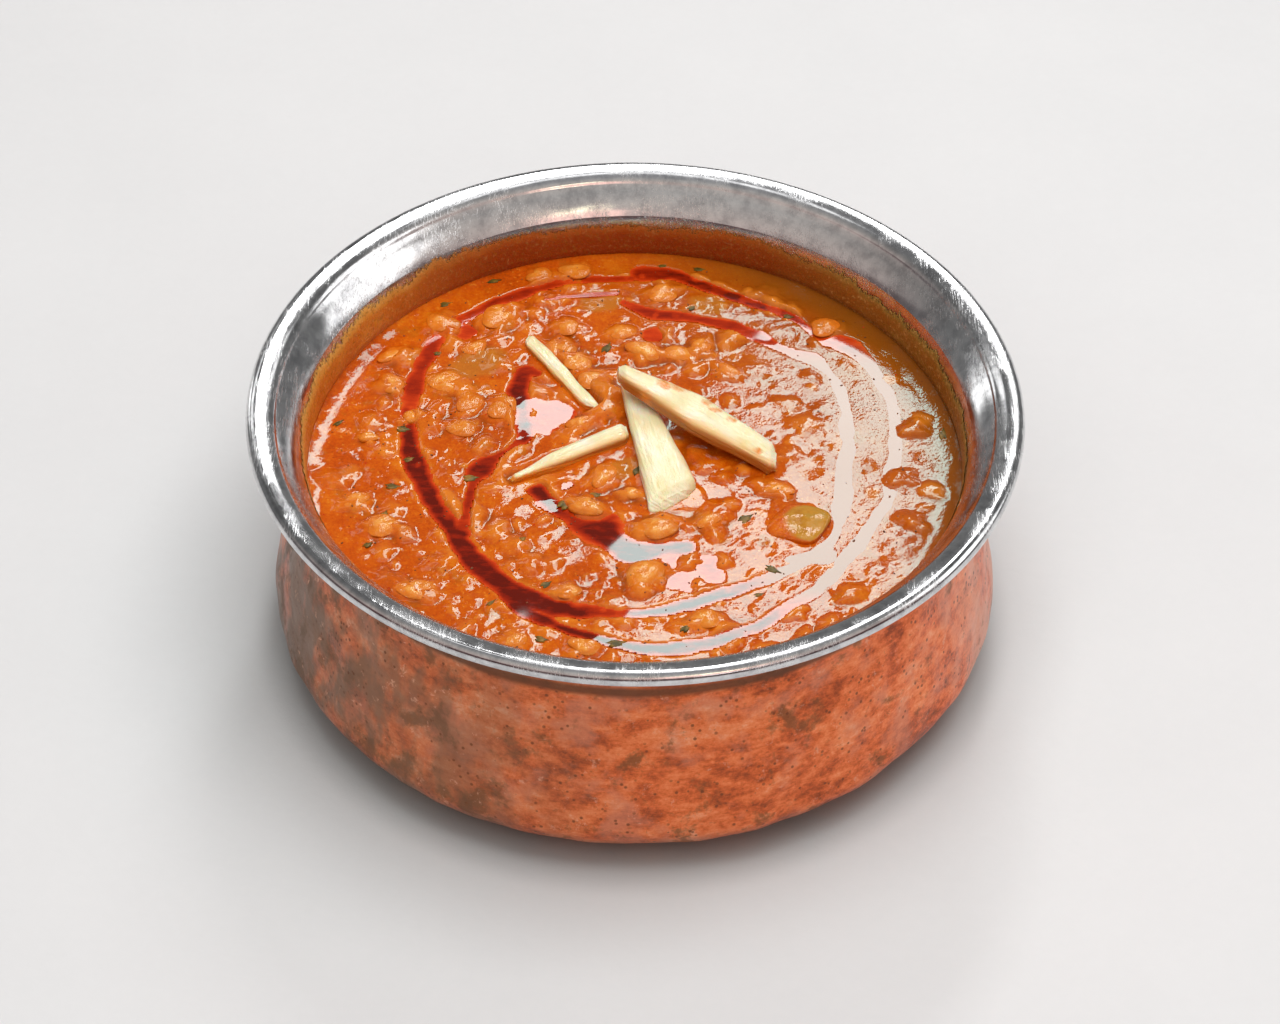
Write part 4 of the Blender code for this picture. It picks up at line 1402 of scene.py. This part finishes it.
def make_specks(finish, surface):
    """Grains of ground spice on the gravy."""
    start_clean()
    bpy.ops.mesh.primitive_ico_sphere_add(subdivisions=1, radius=0.5 * MM)
    model = take_new("speck")
    edit_all(model)
    bpy.ops.transform.resize(value=(1.3, 0.8, 0.6))
    bpy.ops.object.mode_set(mode="OBJECT")
    rng = np.random.default_rng(9)
    places = []
    for _ in range(SPECK_COUNT):
        x, y = random_place(rng, 57.5)
        size = rng.uniform(0.22, 0.5) * (1.6 if rng.uniform(0, 1) > 0.93 else 1.0)
        top = GRAVY_LEVEL + gravy_top(surface, x, y)
        places.append(((x, y, top), rng.uniform(0, 6), rng.uniform(-0.5, 0.5), (size,) * 3))
    return scatter("spice_specks", model, places, finish)


# ---------------------------------------------------------------- studio

def make_floor(finish):
    start_clean()
    bpy.ops.mesh.primitive_plane_add(size=4.0)
    floor = take_new("floor")
    floor.data.materials.append(finish)


def direction(azimuth, elevation):
    """A direction: azimuth from +Y towards +X, and elevation, in degrees."""
    a, e = math.radians(azimuth), math.radians(elevation)
    return Vector((math.sin(a) * math.cos(e), math.cos(a) * math.cos(e), math.sin(e)))


def make_light(name, azimuth, elevation, distance, width, height, radiance, roll, colour, serves):
    """A soft light that faces the bowl and serves only "gloss" or only "matt" surfaces."""
    light = bpy.data.lights.new(name, "AREA")
    light.color = colour
    light.shape = "RECTANGLE"
    light.size = width
    light.size_y = height
    light.energy = radiance * math.pi * width * height
    lamp = bpy.data.objects.new(name, light)
    bpy.context.scene.collection.objects.link(lamp)
    away = direction(azimuth, elevation)
    lamp.location = away * distance + Vector((0, 0, 0.04))
    aim = away.to_track_quat("Z", "Y") @ Quaternion((0, 0, 1), math.radians(roll))
    lamp.rotation_euler = aim.to_euler()
    lamp.visible_glossy = serves == "gloss"
    lamp.visible_diffuse = serves == "matt"


def make_world():
    """A studio of soft greys: a dim backdrop behind the bowl and a paler room before it."""
    world = bpy.data.worlds.new("studio")
    bpy.context.scene.world = world
    world.use_nodes = True
    tree = world.node_tree
    place = tree.nodes.new("ShaderNodeTexCoord")
    split = tree.nodes.new("ShaderNodeSeparateXYZ")
    tree.links.new(place.outputs["Generated"], split.inputs[0])
    ramps = []
    for greys in (FRONT_GREYS, BACKDROP_GREYS):
        ramp = tree.nodes.new("ShaderNodeValToRGB")
        Finish.set_stops(ramp.color_ramp, greys)
        tree.links.new(split.outputs[2], ramp.inputs[0])
        ramps.append(ramp)
    behind = tree.nodes.new("ShaderNodeMapRange")
    behind.inputs[1].default_value = -0.35
    behind.inputs[2].default_value = 0.35
    tree.links.new(split.outputs[1], behind.inputs[0])
    mix = tree.nodes.new("ShaderNodeMix")
    mix.data_type = "RGBA"
    tree.links.new(behind.outputs[0], mix.inputs[0])
    tree.links.new(ramps[0].outputs[0], mix.inputs[6])
    tree.links.new(ramps[1].outputs[0], mix.inputs[7])
    tree.links.new(mix.outputs[2], tree.nodes["Background"].inputs[0])


def make_camera():
    camera = bpy.data.objects.new("camera", bpy.data.cameras.new("camera"))
    bpy.context.scene.collection.objects.link(camera)
    bpy.context.scene.camera = camera
    camera.data.sensor_width = 36.0
    camera.data.lens = CAMERA_LENS
    camera.data.clip_start = 0.01
    camera.location = [length * MM for length in CAMERA_PLACE]
    right, up = Vector(CAMERA_RIGHT), Vector(CAMERA_UP)
    back = right.cross(up)
    camera.rotation_euler = Matrix((right, up, back)).transposed().to_euler()


def main():
    bpy.context.scene.view_settings.view_transform = "Standard"
    make_camera()
    make_world()
    make_floor(floor_finish())
    for light in LIGHTS:
        make_light(*light)
    make_copper_shell(copper_finish())
    make_steel_liner(steel_finish())
    surface = make_gravy(gravy_finish())
    make_oil(oil_finish(), surface)
    make_lentils(lentil_finish(), surface)
    make_smear(smear_finish())
    ginger = ginger_finish()
    for number, (name, stick) in enumerate(STICKS.items()):
        make_stick(name, stick, ginger, 100 + 10 * number)
    make_pepper(pepper_finish())
    make_herbs(herb_finish(), surface)
    make_specks(spice_finish(), surface)


main()
